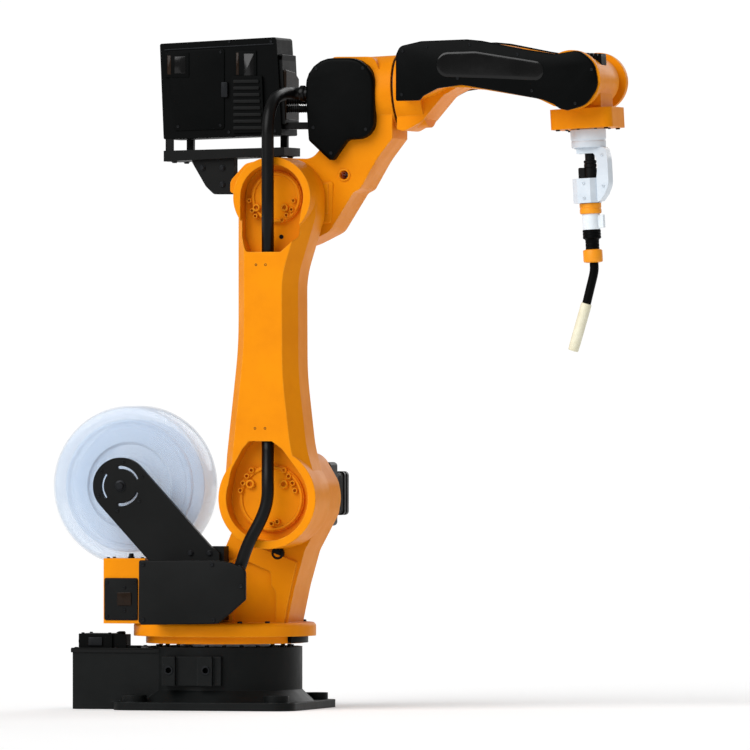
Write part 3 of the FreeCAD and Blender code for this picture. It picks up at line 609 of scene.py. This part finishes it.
window_line = outline([(-193, 211, 3), (-163, 211, 3), (-163, 238, 3), (-193, 238, 3)])
piece("rear_panel_window", plate(window_line, rim(-122.5, -125.0, 1.0)), "turntable",
      "smoked_window")
panel_spots = [(x, -123.0, z) for x, z in ((-215, 259), (-156, 259), (-215, 189), (-156, 189),
                                           (-178, 248), (-178, 201))]
piece("rear_panel_screws", heads_at(panel_spots, near, (3.2, 2.0)), "turntable", "dark_steel")
print("side cover, rear panel and their screws")

# %% [markdown]
# The rear box carries a breather stud on its lid, and its back has a louvred plate. The spool
# bracket ends in an axle nut, and the post has a rubber plug over a tapped hole.

# %% Small parts on the turntable
stud = turned([(7, -1), (7, 3), (5, 4), (5, 9), (3.5, 10)], (-171, -96, 307), up, 24)
box_lid_spots = [(x, y, 307.0) for x in (-215, -143) for y in (-112, -68)]
piece("rear_box_fittings", joined([stud, heads_at(box_lid_spots, up, (3.5, 2.5))]), "turntable",
      "dark_steel")
back_line = outline([(-52, 190, 5), (52, 190, 5), (52, 268, 5), (-52, 268, 5)])
back_plate = plate(back_line, rim(-223.0, -227.0, 2.0), plane="yz")
louvres = [plate(outline([(-42, z, 3), (42, z, 3), (42, z + 6, 3), (-42, z + 6, 3)]),
                 rim(-227.0, -231.0, 2.0), plane="yz") for z in range(200, 256, 11)]
piece("rear_louvres", joined([back_plate] + louvres), "turntable", "black_sheet")
piece("post_plug", turned([(13, -3), (13, 4), (11.5, 6), (9.0, 6), (8.0, 3.5)],
                          (130, -64, 318), near, 32), "turntable", "hose_rubber")
bracket_face = -116.0
axle_end = (spool[0], bracket_face, spool[2])
axle_nut = hexagon_head(axle_end, near, 9.0, 7.0)
head_screws = round_pattern(axle_end, near, 50.0, 6, 0.4, size=(3.2, 2.2))
foot_screws = heads_at([(x, bracket_face, 318) for x in (-40, 0)], near, (5.0, 4.5), hexagon_head)
piece("bracket_fasteners", joined([axle_nut, head_screws, foot_screws]), "turntable", "dark_steel")
print("louvres, plug and fasteners of the turntable")

# %% [markdown]
# Cap screws hold the turntable's disc down. They stand on one circle, but none fits under the post
# or under the rear box, so the spots there are left out before the heads are made.

# %% Screws on the turntable's disc
disc_turn = 0.1 + np.arange(18) * 2 * math.pi / 18
disc_spots = np.stack([172.0 * np.sin(disc_turn), -172.0 * np.cos(disc_turn),
                       np.full(18, 176.5)], 1)
beside_post = np.abs(disc_spots[:, 1]) > 76
clear_of_box = (disc_spots[:, 0] > -92) | (disc_spots[:, 1] > 130)
disc_spots = disc_spots[beside_post & clear_of_box]
piece("turntable_bolts", heads_at(disc_spots, up, (5.0, 4.0)), "turntable", "dark_steel")
print("the turntable disc shows", len(disc_spots), "bolts")

# %% [markdown]
# ## Spool and its clear cover
# A wire spool is turned round one axis: two flanges with beaded rims, a hub, and stepped rings
# pressed into the near flange. Its cover is a shallow drum blown from clear sheet, with the same
# steps. Both are single closed profiles, so that the walls have a true thickness.

# %% Spool
hub = (spool[0], 0.0, spool[2])
near_flange = [(12.5, -46), (24, -46), (26, -38), (52, -36), (56, -42), (60, -42), (64, -36),
               (84, -37), (88, -44), (90, -46), (118, -46), (121, -43), (126, -43), (129, -46),
               (131, -48.5), (134.5, -48.5), (135, -46), (134, -42), (128, -41.5), (92, -42)]
barrel = [(89, -39), (89, 34)]
far_flange = [(92, 37), (128, 36.5), (134, 37), (135, 40), (134, 43), (130, 43), (128, 41), (88, 41)]
spool_line = [(12.5, 41)] + near_flange + barrel + far_flange
piece("spool_turned", turned(spool_line, hub, far, 96, hollow=True), "spool", "spool_plastic",
      ["wire_spool"])
outer = [(12.5, -54), (50, -54), (54, -51), (84, -51), (88, -54), (132, -54), (137, -50.5),
         (152, -50.5), (159, -48), (163, -40), (163, 36), (160, 45), (152, 49), (12.5, 49)]
inner = [(12.5, 46.5), (151, 46.5), (158, 43), (160.5, 36), (160.5, -39), (157, -46), (151, -48),
         (136, -48), (131, -51.5), (89, -51.5), (85, -48.5), (53, -48.5), (49, -51.5), (12.5, -51.5)]
piece("spool_cover_blown", turned(outer + inner, hub, far, 96, hollow=True), "turntable",
      "clear_plastic", ["spool_cover"])
print("spool and cover are turned")

# %% [markdown]
# ## Motors
# The drive motors have a square flange with four bolts, a body with cooling ribs and an end cap
# with a connector. Ribs are rings of one square outline whose inset swings in and out with depth.

# %% Motors with cooling ribs
def square(half, radius):
    """Corners at plus and minus half, each rounded by the radius."""
    return [(a * half, b * half, radius) for a, b in ((-1, -1), (1, -1), (1, 1), (-1, 1))]


def ribbed_body(half, radius, start, end, pitch, depth, centre):
    """Insets alternate 0, 0, depth, depth along y, which gives flat-topped ribs."""
    count = int((end - start) / pitch)
    edge = start + np.arange(count)[:, None] * pitch + np.array([0.0, 0.5, 0.6, 0.9]) * pitch
    inset = np.tile([0.0, 0.0, depth, depth], (count, 1))
    ribs = list(zip(inset.ravel(), edge.ravel()))
    profile = [(2.0, start - 0.01)] + ribs + [(0.0, end - 2), (2.5, end)]
    return plate(outline(square(half, radius), centre), profile)


motor_centre = (shoulder[0], 437.0)
piece("shoulder_motor_ribbed",
      joined([ribbed_body(43.0, 9.0, 120.0, 252.0, 10.0, 3.0, motor_centre),
              plate(outline(square(45.0, 8.0), motor_centre),
                    [(0.0, 250.0), (0.0, 260.0), (3.5, 263.0), (3.5, 268.0), (0.0, 271.0),
                     (0.0, 284.0), (1.5, 288.5), (5.0, 290.0)])]),
      "turntable", "motor_black", ["shoulder_motor_cap"])
motor_spots = [(motor_centre[0] + x, 120.0, motor_centre[1] + z)
               for x in (-54, 54) for z in (-54, 54)]
plug_body = plate(outline([(118, 200, 4), (162, 200, 4), (162, 238, 4), (118, 238, 4)]),
                  [(0.0, 479.0), (0.0, 497.0), (2.0, 500.0)], plane="xy")
plug_gland = turned([(13, 0), (13, 12), (10, 14), (10, 24), (8, 26)], (140, 238, 489), far, 28)
piece("shoulder_motor_fittings", heads_at(motor_spots, far, (7.0, 6.0), hexagon_head), "turntable",
      "dark_steel")
piece("shoulder_motor_plug", joined([plug_body, plug_gland]), "turntable", "black_plastic")
elbow_centre = (elbow[0], elbow[2])
piece("elbow_motor_ribbed",
      joined([plate(outline(square(52.0, 8.0), elbow_centre), rim(60.0, 74.0, 2.5)),
              ribbed_body(43.0, 9.0, 74.0, 152.0, 9.0, 3.0, elbow_centre),
              plate(outline(square(44.5, 8.0), elbow_centre),
                    [(0.0, 150.0), (0.0, 172.0), (1.5, 176.5), (5.0, 178.0)])]),
      "elbow", "motor_black", ["elbow_motor"])
elbow_spots = [(elbow[0] + x, 74.0, elbow[2] + z) for x in (-46, 46) for z in (-46, 46)]
piece("elbow_motor_bolts", heads_at(elbow_spots, far, (5.0, 4.0), hexagon_head), "elbow",
      "dark_steel")
print("two motors with ribs")

# %% [markdown]
# ## Base fittings
# The base carries a cable box with gland nuts, a latch and a knob on its connectors, and a screwed
# lid. A ring of screws holds the swivel bearing. These small parts give the eye its scale.

# %% Base fittings
lid_spots = [(x, y, 123.0) for x in (-284, -200, -132) for y in (-108, 108)]
lid_spots += [(-284, -36, 123.0), (-284, 36, 123.0)]
piece("rear_lid_screws", heads_at(lid_spots, up, (4.0, 3.0)), "base", "dark_steel")
lip_line = outline([(-293, -118, 2), (-118, -118, 1), (-118, -114, 1), (-289, -114, 2),
                    (-289, 114, 2), (-118, 114, 1), (-118, 118, 1), (-293, 118, 2)])
piece("rear_lid_lip", plate(lip_line, rim(122.0, 124.5, 0.8), plane="xy"), "base", "black_sheet")
glands = [turned([(14, -1), (14, 1.5), (12.5, 2.8), (7, 2.8), (6, 0.5)],
                 (-290, y, 62), (-1, 0, 0), 6 if n % 2 else 28)
          for n, y in enumerate((-70, -25, 20, 65))]
box_glands = [turned([(9, -1), (9, 2), (7.5, 3.2), (4, 3.2), (3.5, 1)], (-283, y, 138),
                     (-1, 0, 0), 24) for y in (-78, -38)]
piece("cable_glands", joined(glands + box_glands), "base", "black_plastic")
box_spots = [(x, y, 153.0) for x in (-276, -219) for y in (-88, -27)]
latch = plate(outline([(-262, 128, 2), (-232, 128, 2), (-232, 146, 2), (-262, 146, 2)]),
              rim(-95.0, -98.5, 1.2))
piece("connector_box_latch", joined([latch, heads_at(box_spots, up, (3.2, 2.4))]), "base",
      "dark_steel")
knob = turned([(6, 0), (6, 3), (8, 5), (8, 10), (6.5, 12)], (-196, -80, 146), up, 24)
piece("connector_knob", knob, "base", "black_plastic")
piece("bearing_bolts", round_pattern((0, 0, 127), up, 136.0, 24, 0.0, size=(4.5, 4.0)), "base",
      "dark_steel")
pad_rims = [turned([(9.5, -0.5), (9.5, 1.2), (8.6, 1.8), (6.0, 1.8), (6.0, -0.5)],
                   (x, side * 178.0, 81), (0, side, 0), 28, hollow=True)
            for x in (-69, 9) for side in (-1, 1)]
piece("pad_thread_rims", joined(pad_rims), "base", "dark_steel")
print("lid screws,", len(glands) + len(box_glands), "glands and the bearing's ring of screws")

# %% [markdown]
# ## Lower arm
# The arm is one casting with a deep pocket at each end. In the pockets sit the gear units' faces,
# and round them stand cast bosses with tapped holes. The bosses are turned from one profile.

# %% Bosses in the arm's pockets
arm_face = -184.4
pocket_floor = -142.0
gear_face = -150.0


def bosses(joint, spots, radius):
    """Cast rings round tapped holes, standing on the pocket's floor round the joint's axis."""
    profile = [(radius, 0), (radius, 15), (radius * 0.85, 17), (radius * 0.55, 17),
               (radius * 0.5, 9)]
    return joined([turned(profile, (joint[0] + x, pocket_floor, joint[2] + z), near, 28)
                   for x, z in spots])


low_small = [(-40, 57), (-50, 45), (-58, 31), (-63, 16), (28, 57), (38, 45), (46, 31), (51, 16),
             (14, -47), (2, -51)]
low_bosses = [bosses(shoulder, low_small, 6.0), bosses(shoulder, [(-43, 29), (27, 29)], 9.5)]
piece("shoulder_pocket_bosses", joined(low_bosses), "lower_arm", "orange_paint")
high_small = [(-55, -7), (-49, -27), (-42, -38), (38, -7), (34, -25), (23, -36), (14, -46)]
high_bosses = [bosses(elbow, high_small, 5.0), bosses(elbow, [(-40, -21), (19, -21)], 8.0)]
piece("elbow_pocket_bosses", joined(high_bosses), "lower_arm", "orange_paint")
print(len(low_small) + len(high_small), "small bosses and four large ones")

# %% [markdown]
# Behind the bosses the casting thickens to two shelves, and each gear unit's face has a raised rim.
# Four small screws on the arm's face hold the hose's channel shut.

# %% Shelves, gear rims and screws of the arm
def shelf(corners):
    """A low step of the casting beside the shoulder's gear unit."""
    return plate(outline(corners, (shoulder[0], shoulder[2])), rim(-141.0, -147.0, 2.5))


shelves = [shelf([(-62, 12, 6), (-36, 12, 6), (-30, 22, 6), (-30, 64, 6), (-44, 64, 6),
                  (-66, 34, 10)]),
           shelf([(50, 12, 6), (24, 12, 6), (16, 22, 6), (16, 64, 6), (30, 64, 6), (54, 34, 10)])]
piece("shoulder_pocket_shelves", joined(shelves), "lower_arm", "orange_paint")
rings = [turned([(r, -0.5), (r, 2.5), (r - 1.5, 4.0), (r - 5.0, 4.0), (r - 6.5, 1.0), (r - 6.5, -0.5)],
                (place[0], gear_face, place[2]), near, 72, hollow=True)
         for place, r in ((shoulder, 66.0), (elbow, 51.0))]
piece("gear_face_rims", joined(rings), "lower_arm", "orange_paint")
face_spots = [(x, arm_face, z) for x, z in ((117, elbow[2] - 137), (137, elbow[2] - 137),
                                            (115, shoulder[2] + 142), (136, shoulder[2] + 142))]
pocket_plug = turned([(4.5, -1), (4.5, 0.6), (3, 0.6), (2.6, 0.1)],
                     (elbow[0] + 8.5, pocket_floor, elbow[2] - 80), near, 20)
piece("arm_face_screws", joined([heads_at(face_spots, near, (2.6, 0.8)), pocket_plug]),
      "lower_arm", "dark_steel")
flange_bolts = round_pattern((shoulder[0], -73.0, shoulder[2]), far, 92.0, 10, 0.2,
                             size=(4.0, 3.5))
piece("arm_flange_bolts", flange_bolts, "lower_arm", "dark_steel")
print("shelves, rims and screws on the arm")

# %% [markdown]
# ## Hose
# One stiff cable hose runs from the side cover over the shoulder, through the arm's channel, out at
# the elbow and into the elbow's cover. It is held at every bend, so its path is fixed at rest.

# %% The two halves of the hose
hose_radius = 12.5


def hose_spot(y, z):
    """The hose leans with depth, so that its runs stay in one slanted plane."""
    return (92.24 - 0.268 * y, y, z)


def hose_half(name, corners, nodes):
    """A bent tube on a smoothed path from one body to the next, attached to neither."""
    hose = tube(smooth_path(corners), hose_radius, 32)
    half = piece(name, hose, None, "hose_rubber", nodes, sharp=60)
    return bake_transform(half)


low_corners = [(19, -192, 240), (64, -192, 238), (84, -197, 282), (106, -203, 342),
               (132, -204, 384), (147, -203, 425), hose_spot(-203, 470), hose_spot(-186, 505),
               hose_spot(-165, 538), hose_spot(-165, 590), hose_spot(-165, 640)]
high_corners = [hose_spot(-165, 835), hose_spot(-165, 905), hose_spot(-165, 944),
                hose_spot(-188, 985), hose_spot(-203, 1012), hose_spot(-203, 1060),
                hose_spot(-203, 1130), hose_spot(-203, 1195), (148, -170, 1238),
                (154, -106, 1252), (166, -73, 1252), (195, -73, 1251)]
hose_half("hose_low", low_corners,
          ("lower_conduit", "arm_conduit_low"))
hose_half("hose_high", high_corners,
          ("arm_conduit_high", "upper_conduit"))
low_steps = np.linalg.norm(np.diff(np.array(low_corners), axis=0), axis=1)
print("the hose is", round(float(low_steps.sum())), "mm long in its lower half")

# %% [markdown]
# A crimped clip holds the hose where it enters the elbow cover, and another where it leaves the
# side cover. Each is a short turned ring.

# %% Hose clips
clip = [(13, 0), (16, 0), (16.5, 1), (16.5, 8), (16, 9), (13, 9)]
piece("hose_clip_elbow", turned(clip, (180, -73, 1251.5), (1, 0, 0), 36, hollow=True), "elbow",
      "hose_rubber")
piece("hose_clip_cover", turned(clip, (24, -192, 240), (1, 0, 0), 36, hollow=True), "turntable",
      "hose_rubber")
print("two hose clips")

# %% [markdown]
# ## Elbow covers
# The elbow's two flank covers are deep mouldings with a generous rim. Beside them the casting has a
# raised pad on each flank, and a turned rim round the hole that goes through it.

# %% Elbow covers
elbow_cover_line = outline([(43, 283, 56), (188, 283, 54), (186, 120, 36), (130, 117, 14),
                            (97, 72, 8), (49, 116, 8), (47, 142, 20), (43, 208, 60)], elbow_centre)
elbow_cover = plate(elbow_cover_line, [(0.0, -60.0), (0.0, -79.0), (0.6, -81.6), (2.2, -84.0),
                                       (4.6, -85.6), (7.2, -86.0)])
piece("elbow_cover_near", elbow_cover, "elbow", "black_plastic", ["elbow_side_cover"])
piece("elbow_cover_far", mirrored(elbow_cover), "elbow", "black_plastic", ["elbow_far_cover"])
elbow_cover_spots = [(elbow[0] + x, -85.6, elbow[2] + z)
                     for x, z in ((66, 262), (164, 262), (170, 138), (97, 90), (60, 142))]
elbow_screws = heads_at(elbow_cover_spots, near, (3.4, 1.8))
piece("elbow_cover_screws", joined([elbow_screws, mirrored(elbow_screws)]), "elbow", "dark_steel")
pad = plate(outline([(30, -34, 4), (62, -34, 3), (66, -52, 3), (92, -52, 6), (96, 34, 6),
                     (64, 30, 3), (60, 18, 3), (30, 18, 4)], elbow_centre), rim(-58.0, -64.0, 2.5))
piece("elbow_pads", joined([pad, mirrored(pad)]), "elbow", "orange_paint")
hole_rims = [turned([(13, -1), (13, 2), (12, 3), (9.2, 3), (9.0, -1)],
                    (elbow[0] + 118, side * 60.0, elbow[2] + 46), (0, side, 0), 36, hollow=True)
             for side in (-1, 1)]
piece("elbow_hole_rims", joined(hole_rims), "elbow", "orange_paint")
print("elbow covers, pads and hole rims")

# %% [markdown]
# ## Wire feeder
# The feeder is a powder-coated housing. Its near face has a door with a latch, a drive block with
# ventilation slots and two sight windows in frames; a lighter strip at the left of each window is a
# painted highlight on the glass. Its front end has a smoked window.

# %% Feeder details
def bar(x0, x1, z0, z1, y0, y1, radius=1.0):
    """A small rounded bar given from the elbow's centre."""
    line = outline([(x0, z0, radius), (x1, z0, radius), (x1, z1, radius), (x0, z1, radius)],
                   elbow_centre)
    return plate(line, rim(y0, y1, min(1.0, radius)))


face = -60.0
door = plate(outline([(-256, 300, 6), (-134, 305, 6), (-134, 140, 6), (-240, 137, 6)],
                     elbow_centre), rim(face, face - 2.5, 1.2))
frames = [bar(-260, -208, 246, 297, face - 2.4, face - 4.5, 2.0),
          bar(-112, -66, 244, 300, face, face - 3.0, 2.0)]
drive_louvres = [bar(-113, -52 - n, 139 + 13.5 * n, 146 + 13.5 * n, face - 8, face - 11.5, 2.5)
                 for n in range(8)]
piece("feeder_door", joined([door] + frames), "elbow", "feeder_black")
piece("feeder_louvres", joined(drive_louvres), "elbow", "black_sheet")
on_door = (face - 4.4, face - 5.2)
on_block = (face - 2.9, face - 3.7)
# The narrow lighter strip at the left of each sight window is a painted highlight on the glass; the gloss black
# beside it is the window.
window_highlight_strips = [bar(-254, -246, 252, 291, *on_door), bar(-109, -103, 250, 296, *on_block)]
piece("feeder_window_painted_highlights", joined(window_highlight_strips), "elbow", "smoked_window")
dark = [bar(-239, -215, 254, 289, *on_door), bar(-93, -71, 248, 294, *on_block)]
piece("feeder_windows", joined(dark), "elbow", "gloss_black")
door_spots = [(elbow[0] + x, face - 2.3, elbow[2] + z)
              for x, z in ((-249, 292), (-142, 297), (-142, 148), (-232, 146))]
body_spots = [(elbow[0] + x, face, elbow[2] + z)
              for x, z in ((-36, 318), (-28, 136), (-124, 318), (-125, 134))]
latch_bar = bar(-140, -126, 205, 236, face, face - 7, 2.5)
piece("feeder_fasteners", joined([heads_at(door_spots + body_spots, near, (3.0, 1.8)), latch_bar]),
      "elbow", "dark_steel")
print("feeder door, louvres, windows and screws")

# %% [markdown]
# The feeder's front end leans a little. Its smoked window and the frame over it are upright plates
# sunk into that end. The far side has one large door, and the back has three plugs in the sheet.

# %% Feeder ends and far door
end_line = outline([(-48, 1199, 3), (50, 1199, 3), (50, 1284, 3), (20, 1297, 4), (-48, 1301, 3)])
end_window = plate(end_line, [(0.0, 128.0), (0.0, 142.0), (0.8, 143.0)], plane="yz")
piece("feeder_end_window", end_window, "elbow", "smoked_window")
end_frame = plate(outline([(-52, 1318, 3), (54, 1318, 3), (54, 1332, 3), (-52, 1332, 3)]),
                  [(0.0, 120.0), (0.0, 134.5), (1.0, 135.5)], plane="yz")
far_door = mirrored(plate(outline([(-256, 300, 6), (-44, 309, 6), (-38, 143, 6), (-240, 137, 6)],
                                  elbow_centre), rim(face - 1.9, face - 4.5, 1.2)))
piece("feeder_far_door", joined([far_door, end_frame]), "elbow", "feeder_black")
lid_seam = plate(outline([(-262, 301, 1), (-30, 312, 1), (-30, 314.5, 1), (-262, 303.5, 1)],
                         elbow_centre), rim(face, face - 1.4, 0.6))
piece("feeder_lid_seam", lid_seam, "elbow", "dark_steel")
back_lean = 0.041  # the back's slope, in millimetres forward for each millimetre down
rear_plugs = [turned([(16, -4), (16, 0.8), (14.5, 2.2), (9, 2.2), (8, 0.4)],
                     (elbow[0] - 271 + (1355 - z) * back_lean, y, z), (-1, 0, -back_lean), 36)
              for y, z in ((-28, 1215), (16, 1215), (-6, 1275))]
piece("feeder_rear_plugs", joined(rear_plugs), "elbow", "black_plastic")
print("feeder end window, far door, seam and plugs")

# %% [markdown]
# The two cable bundles between feeder and elbow run in corrugated sleeves. A corrugated tube is a
# plain tube whose radius swings with the length, so its ribs need no extra pieces.

# %% Corrugated sleeves
def corrugated(corners, radius, pitch, depth):
    """Radius = radius - depth / 2 + depth / 2 * cos(2 * pi * length / pitch)."""
    path = np.array(corners, float)
    steps = np.concatenate([[0.0], np.cumsum(np.linalg.norm(np.diff(path, axis=0), axis=1))])
    length = np.linspace(0, steps[-1], int(steps[-1] / pitch * 6))
    even = np.stack([np.interp(length, steps, path[:, k]) for k in range(3)], 1)
    swing = radius - depth / 2 + depth / 2 * np.cos(2 * math.pi * length / pitch)
    return tube(even, swing, 24)


bundle_start = 118.0
bundle_end = elbow[0] + 50.0
sleeves = [corrugated([(x, -30, elbow[2] + height) for x in (bundle_start, bundle_end)], *size)
           for height, size in ((201, (12.0, 5.0, 2.4)), (181, (8.0, 4.0, 1.8)))]
stay_line = outline([(bundle_start, 1180, 2), (bundle_end, 1180, 2), (bundle_end, 1194, 2),
                     (bundle_start, 1194, 2)])
stay = plate(stay_line, [(1.0, 0.0), (0.0, -1.0), (0.0, -39.0), (1.0, -40.0)])
piece("feeder_sleeves", joined(sleeves + [stay]), "elbow", "hose_rubber", ["feeder_conduits"])
post_spots = [(elbow[0] + x, y, elbow[2] + z)
              for x, z in ((-244, 75.9), (-150, 80.2), (-24, 85.4)) for y in (-45, 45)]
bracket_spots = [(elbow[0] + x, -48.0, elbow[2] + z)
                 for x, z in ((-184, 62), (-142, 62), (-142, 28))]
rail_bolts = [heads_at(post_spots, down, (5.0, 4.0), hexagon_head),
              heads_at(bracket_spots, near, (5.0, 4.5), hexagon_head)]
piece("feeder_rail_bolts", joined(rail_bolts), "elbow", "dark_steel")
print("sleeves and rail bolts")

# %% [markdown]
# ## Forearm covers
# Each long cover is one moulding with a soft rim. On it lies a long glossy panel with a shallow
# crown: its inset grows faster than its height, so reflections slide over the edge.

# %% Forearm covers and the glossy panel
wrist_centre = (wrist[0], wrist[2])
cover_corners = [(-365, -41, 4), (-315, -40, 6), (-308, -31, 10), (-278, -16, 20), (-228, -9, 40),
                 (-158, -21, 60), (-58, -40, 30), (-36, -49, 12), (-24, -58, 12), (-7, -62, 12),
                 (32, -51, 40), (58, -13, 42), (49, 34, 40), (18, 60, 30), (-31, 52, 20),
                 (-101, 63, 60), (-186, 80, 60), (-217, 83, 30), (-312, 80, 30), (-357, 70, 16),
                 (-365, 52, 8)]
long_cover = plate(outline(cover_corners, wrist_centre, 6),
                   [(0.0, -118.0), (0.0, -121.5), (0.5, -123.6), (1.8, -125.2), (3.6, -126.0)])
piece("forearm_cover_near", long_cover, "forearm", "black_plastic", ["forearm_cover"])
piece("forearm_cover_far", mirrored(long_cover), "forearm", "black_plastic", ["forearm_far_cover"])
panel_corners = [(-279, 7, 24), (-279, 57, 24), (-198, 59, 60), (-56, 36, 17), (-56, -2, 17),
                 (-158, 3, 60)]
crown = [(0.0, -125.6), (0.2, -126.6), (1.0, -127.4), (3.0, -127.8), (7.0, -128.0)]
glossy = plate(outline(panel_corners, wrist_centre, 12), crown)
piece("glossy_panel", glossy, "forearm", "gloss_black", ["cover_panel"])
piece("glossy_panel_far", mirrored(glossy), "forearm", "gloss_black")
long_cover_spots = [(wrist[0] + x, -125.6, wrist[2] + z)
                    for x, z in ((-350, 60), (-352, -28), (-300, 68), (-110, 52), (-80, -22),
                                 (44, 20), (10, -48), (-210, 72), (-235, 4))]
long_cover_screws = heads_at(long_cover_spots, near, (3.2, 1.8))
piece("forearm_cover_screws", joined([long_cover_screws, mirrored(long_cover_screws)]), "forearm",
      "dark_steel")
neck_place = wrist + np.array([-384.0, 0.0, 0.0])
# A black rubber ring fills the gap at the roll joint; it is painted shade, standing for the shadow in that gap.
gap_shade_ring = turned([(70.0, -2.0), (74.4, -2.0), (74.8, -1.0), (74.8, 1.0), (74.4, 2.0), (70.0, 2.0)],
              neck_place, (1, 0, 0), 96, hollow=True)
piece("roll_gap_shade_ring", pitched(gap_shade_ring), "forearm", "hose_rubber")
forward = (1.0, 0.0, 0.0)
throat_spots = [(wrist[0] - 162.0, y, wrist[2] + z) for y in (-78, -50, 50, 78) for z in (-14, 36)]
piece("forearm_throat_bolts", heads_at(throat_spots, forward, (5.0, 4.0), hexagon_head), "forearm",
      "dark_steel")
print("forearm covers, panels and seal")

# %% [markdown]
# ## Wrist
# The wrist turns between the fork's cheeks. Its cable cover is a ribbed block, and the square
# plate under it takes four cap screws at its corners and a ring of screws round the tool flange.

# %% Wrist
grooves = []
for n in range(5):
    x = wrist[0] + 1.0 + 8.4 * n
    drop = 57.0 - 0.9 * n
    floor_z = 30.0 if n > 2 else 44.0
    grooves.append(plate(outline([(x, wrist[2] + floor_z, 1), (x + 5.6, wrist[2] + floor_z, 1),
                                  (x + 5.6, wrist[2] + drop, 1.5), (x, wrist[2] + drop, 1.5)]),
                         [(1.0, -22.0), (0.0, -21.0), (0.0, 21.0), (1.0, 22.0)]))
spine = plate(outline([(wrist[0] + 0.5, wrist[2] + 40, 1), (wrist[0] + 40, wrist[2] + 25, 1),
                       (wrist[0] + 40, wrist[2] + 49, 1), (wrist[0] + 0.5, wrist[2] + 53, 1)]),
              [(0.0, -20.0), (0.0, 20.0)])
piece("wrist_cable_ribs", pitched(joined(grooves + [spine])), "wrist", "black_plastic",
      ["wrist_cable_cover"])
plate_face = wrist[2] - 97.0
corner_spots = [(wrist[0] + x, y, plate_face) for x in (-50, 50) for y in (-50, 50)]
plate_screws = [heads_at(corner_spots, down, (4.5, 3.0)),
                round_pattern((wrist[0], 0, plate_face), down, 46.0, 8, 0.2, size=(3.0, 2.0))]
piece("wrist_plate_screws", pitched(joined(plate_screws)), "wrist", "dark_steel")
print("wrist ribs and screws")

# %% [markdown]
# ## Torch
# Every torch piece hangs on the tool flange, slightly pitched with the forearm. Turned pieces get
# the grooves that a hand needs, and the nut is a turned profile with only fourteen sides.

# %% Flange, screws and coupling
def torch_spot(depth, ahead=-3.0):
    """A point given by its depth below the wrist's centre, near the torch's own axis."""
    return (wrist[0] + ahead, 0.0, wrist[2] - depth)


flange = turned([(30, -97.4), (35, -97.6), (36, -99), (36, -117), (35, -119), (34.2, -120),
                 (34.2, -122), (35, -123), (35, -133), (34, -135), (20, -135)], wrist, up, 72)
piece("tool_flange_turned", pitched(flange), "tool", "pale_metal", ["tool_flange"])
flange_pins = round_pattern((wrist[0], 0, wrist[2] - 135.0), down, 27.0, 6, 0.3, size=(2.6, 2.0))
clamp_spots = [(wrist[0] + 17.0, y, wrist[2] - d) for y in (-9, 9) for d in (206, 238)]
torch_screws = [flange_pins, heads_at(clamp_spots, forward, (2.6, 2.0))]
for x, y, depths in ((-8.5, 27.0, (207, 237)), (30.0, 19.0, (152, 214))):
    for side in (-1, 1):
        side_spots = [(wrist[0] + x, side * y, wrist[2] - d) for d in depths]
        torch_screws.append(heads_at(side_spots, (0, side, 0), (3.0, 2.0)))
piece("torch_screws", pitched(joined(torch_screws)), "tool", "pale_metal")
plug = turned([(10, -146), (10, -160), (13, -161.5), (13, -166), (11.8, -167.5), (13, -169),
               (13, -174), (11.8, -175.5), (13, -177), (13, -197.2)], torch_spot(0, 1.0), up, 40)
sensor = plate(outline([(-23, -9, 3), (-9, -9, 1), (-9, 9, 1), (-23, 9, 3)], (wrist[0], 0)),
               [(0.0, wrist[2] - 197.2), (0.0, wrist[2] - 177.0), (1.5, wrist[2] - 175.0)],
               plane="xy")
piece("torch_coupling", pitched(joined([plug, sensor])), "tool", "hose_rubber", ["torch_cable"])
print("flange, screws and coupling of the torch")

# %% [markdown]
# Below the clamp come the turned ring, collar and nut, then the bent tube and its nozzle. The tube
# is a circle carried along a smoothed path, and the nozzle is turned round the path's last run.

# %% Ring, collar, nut, gooseneck and nozzle
ring = turned([(19, -247), (22, -248), (22, -256), (21.3, -257), (21.3, -259), (22, -260),
               (22, -267), (20.5, -269), (18, -269)], torch_spot(0), up, 56)
piece("torch_ring_turned", pitched(ring), "tool", "orange_plastic", ["torch_ring"])
collar = turned([(17, -301), (18.5, -302.5), (18.5, -306), (17.6, -307), (18.5, -308),
                 (18.5, -312), (17.6, -313), (18.5, -314), (18.5, -318.5), (14.6, -321), (14, -323),
                 (14, -328), (13.2, -329), (14, -330), (14, -335), (13.2, -336), (14, -337),
                 (14, -341)], torch_spot(0), up, 48)
piece("torch_collar_turned", pitched(collar), "tool", "black_plastic", ["torch_collar"])
nut_turns = turned([(15, -341), (19.4, -342.5), (20, -344), (20, -364), (19.2, -366.5), (14, -368)],
                   torch_spot(0), up, 14, start=0.2)
piece("torch_nut_turned", pitched(nut_turns), "tool", "orange_plastic", ["torch_nut"])
tube_start = np.array(torch_spot(369, -1.5))
tube_bend = np.array(torch_spot(385, -1.5))
tube_end = np.array(torch_spot(450.5, -21.6))
neck_path = smooth_path([tube_start + (0, 0, 3), tube_start, tube_bend, tube_bend * 0.6 + tube_end * 0.4,
                         tube_end], 4)
piece("gooseneck_tube", pitched(tube(neck_path, 9.0, 32)), "tool", "black_plastic",
      ["gooseneck"])
along = np.array([-54.5 + 21.6, 0.0, -544.0 + 450.5])
nozzle_line = [(8.9, -1), (10.4, 0), (11.0, 2), (11.0, 86), (10.4, 97.5), (9.6, 99.0), (8.2, 99.0),
               (8.0, 20), (8.3, 18)]
piece("nozzle_turned", pitched(turned(nozzle_line, tube_end, along, 44, hollow=True)), "tool",
      "nozzle_cream", ["nozzle"])
print("ring, collar, nut, gooseneck and nozzle")
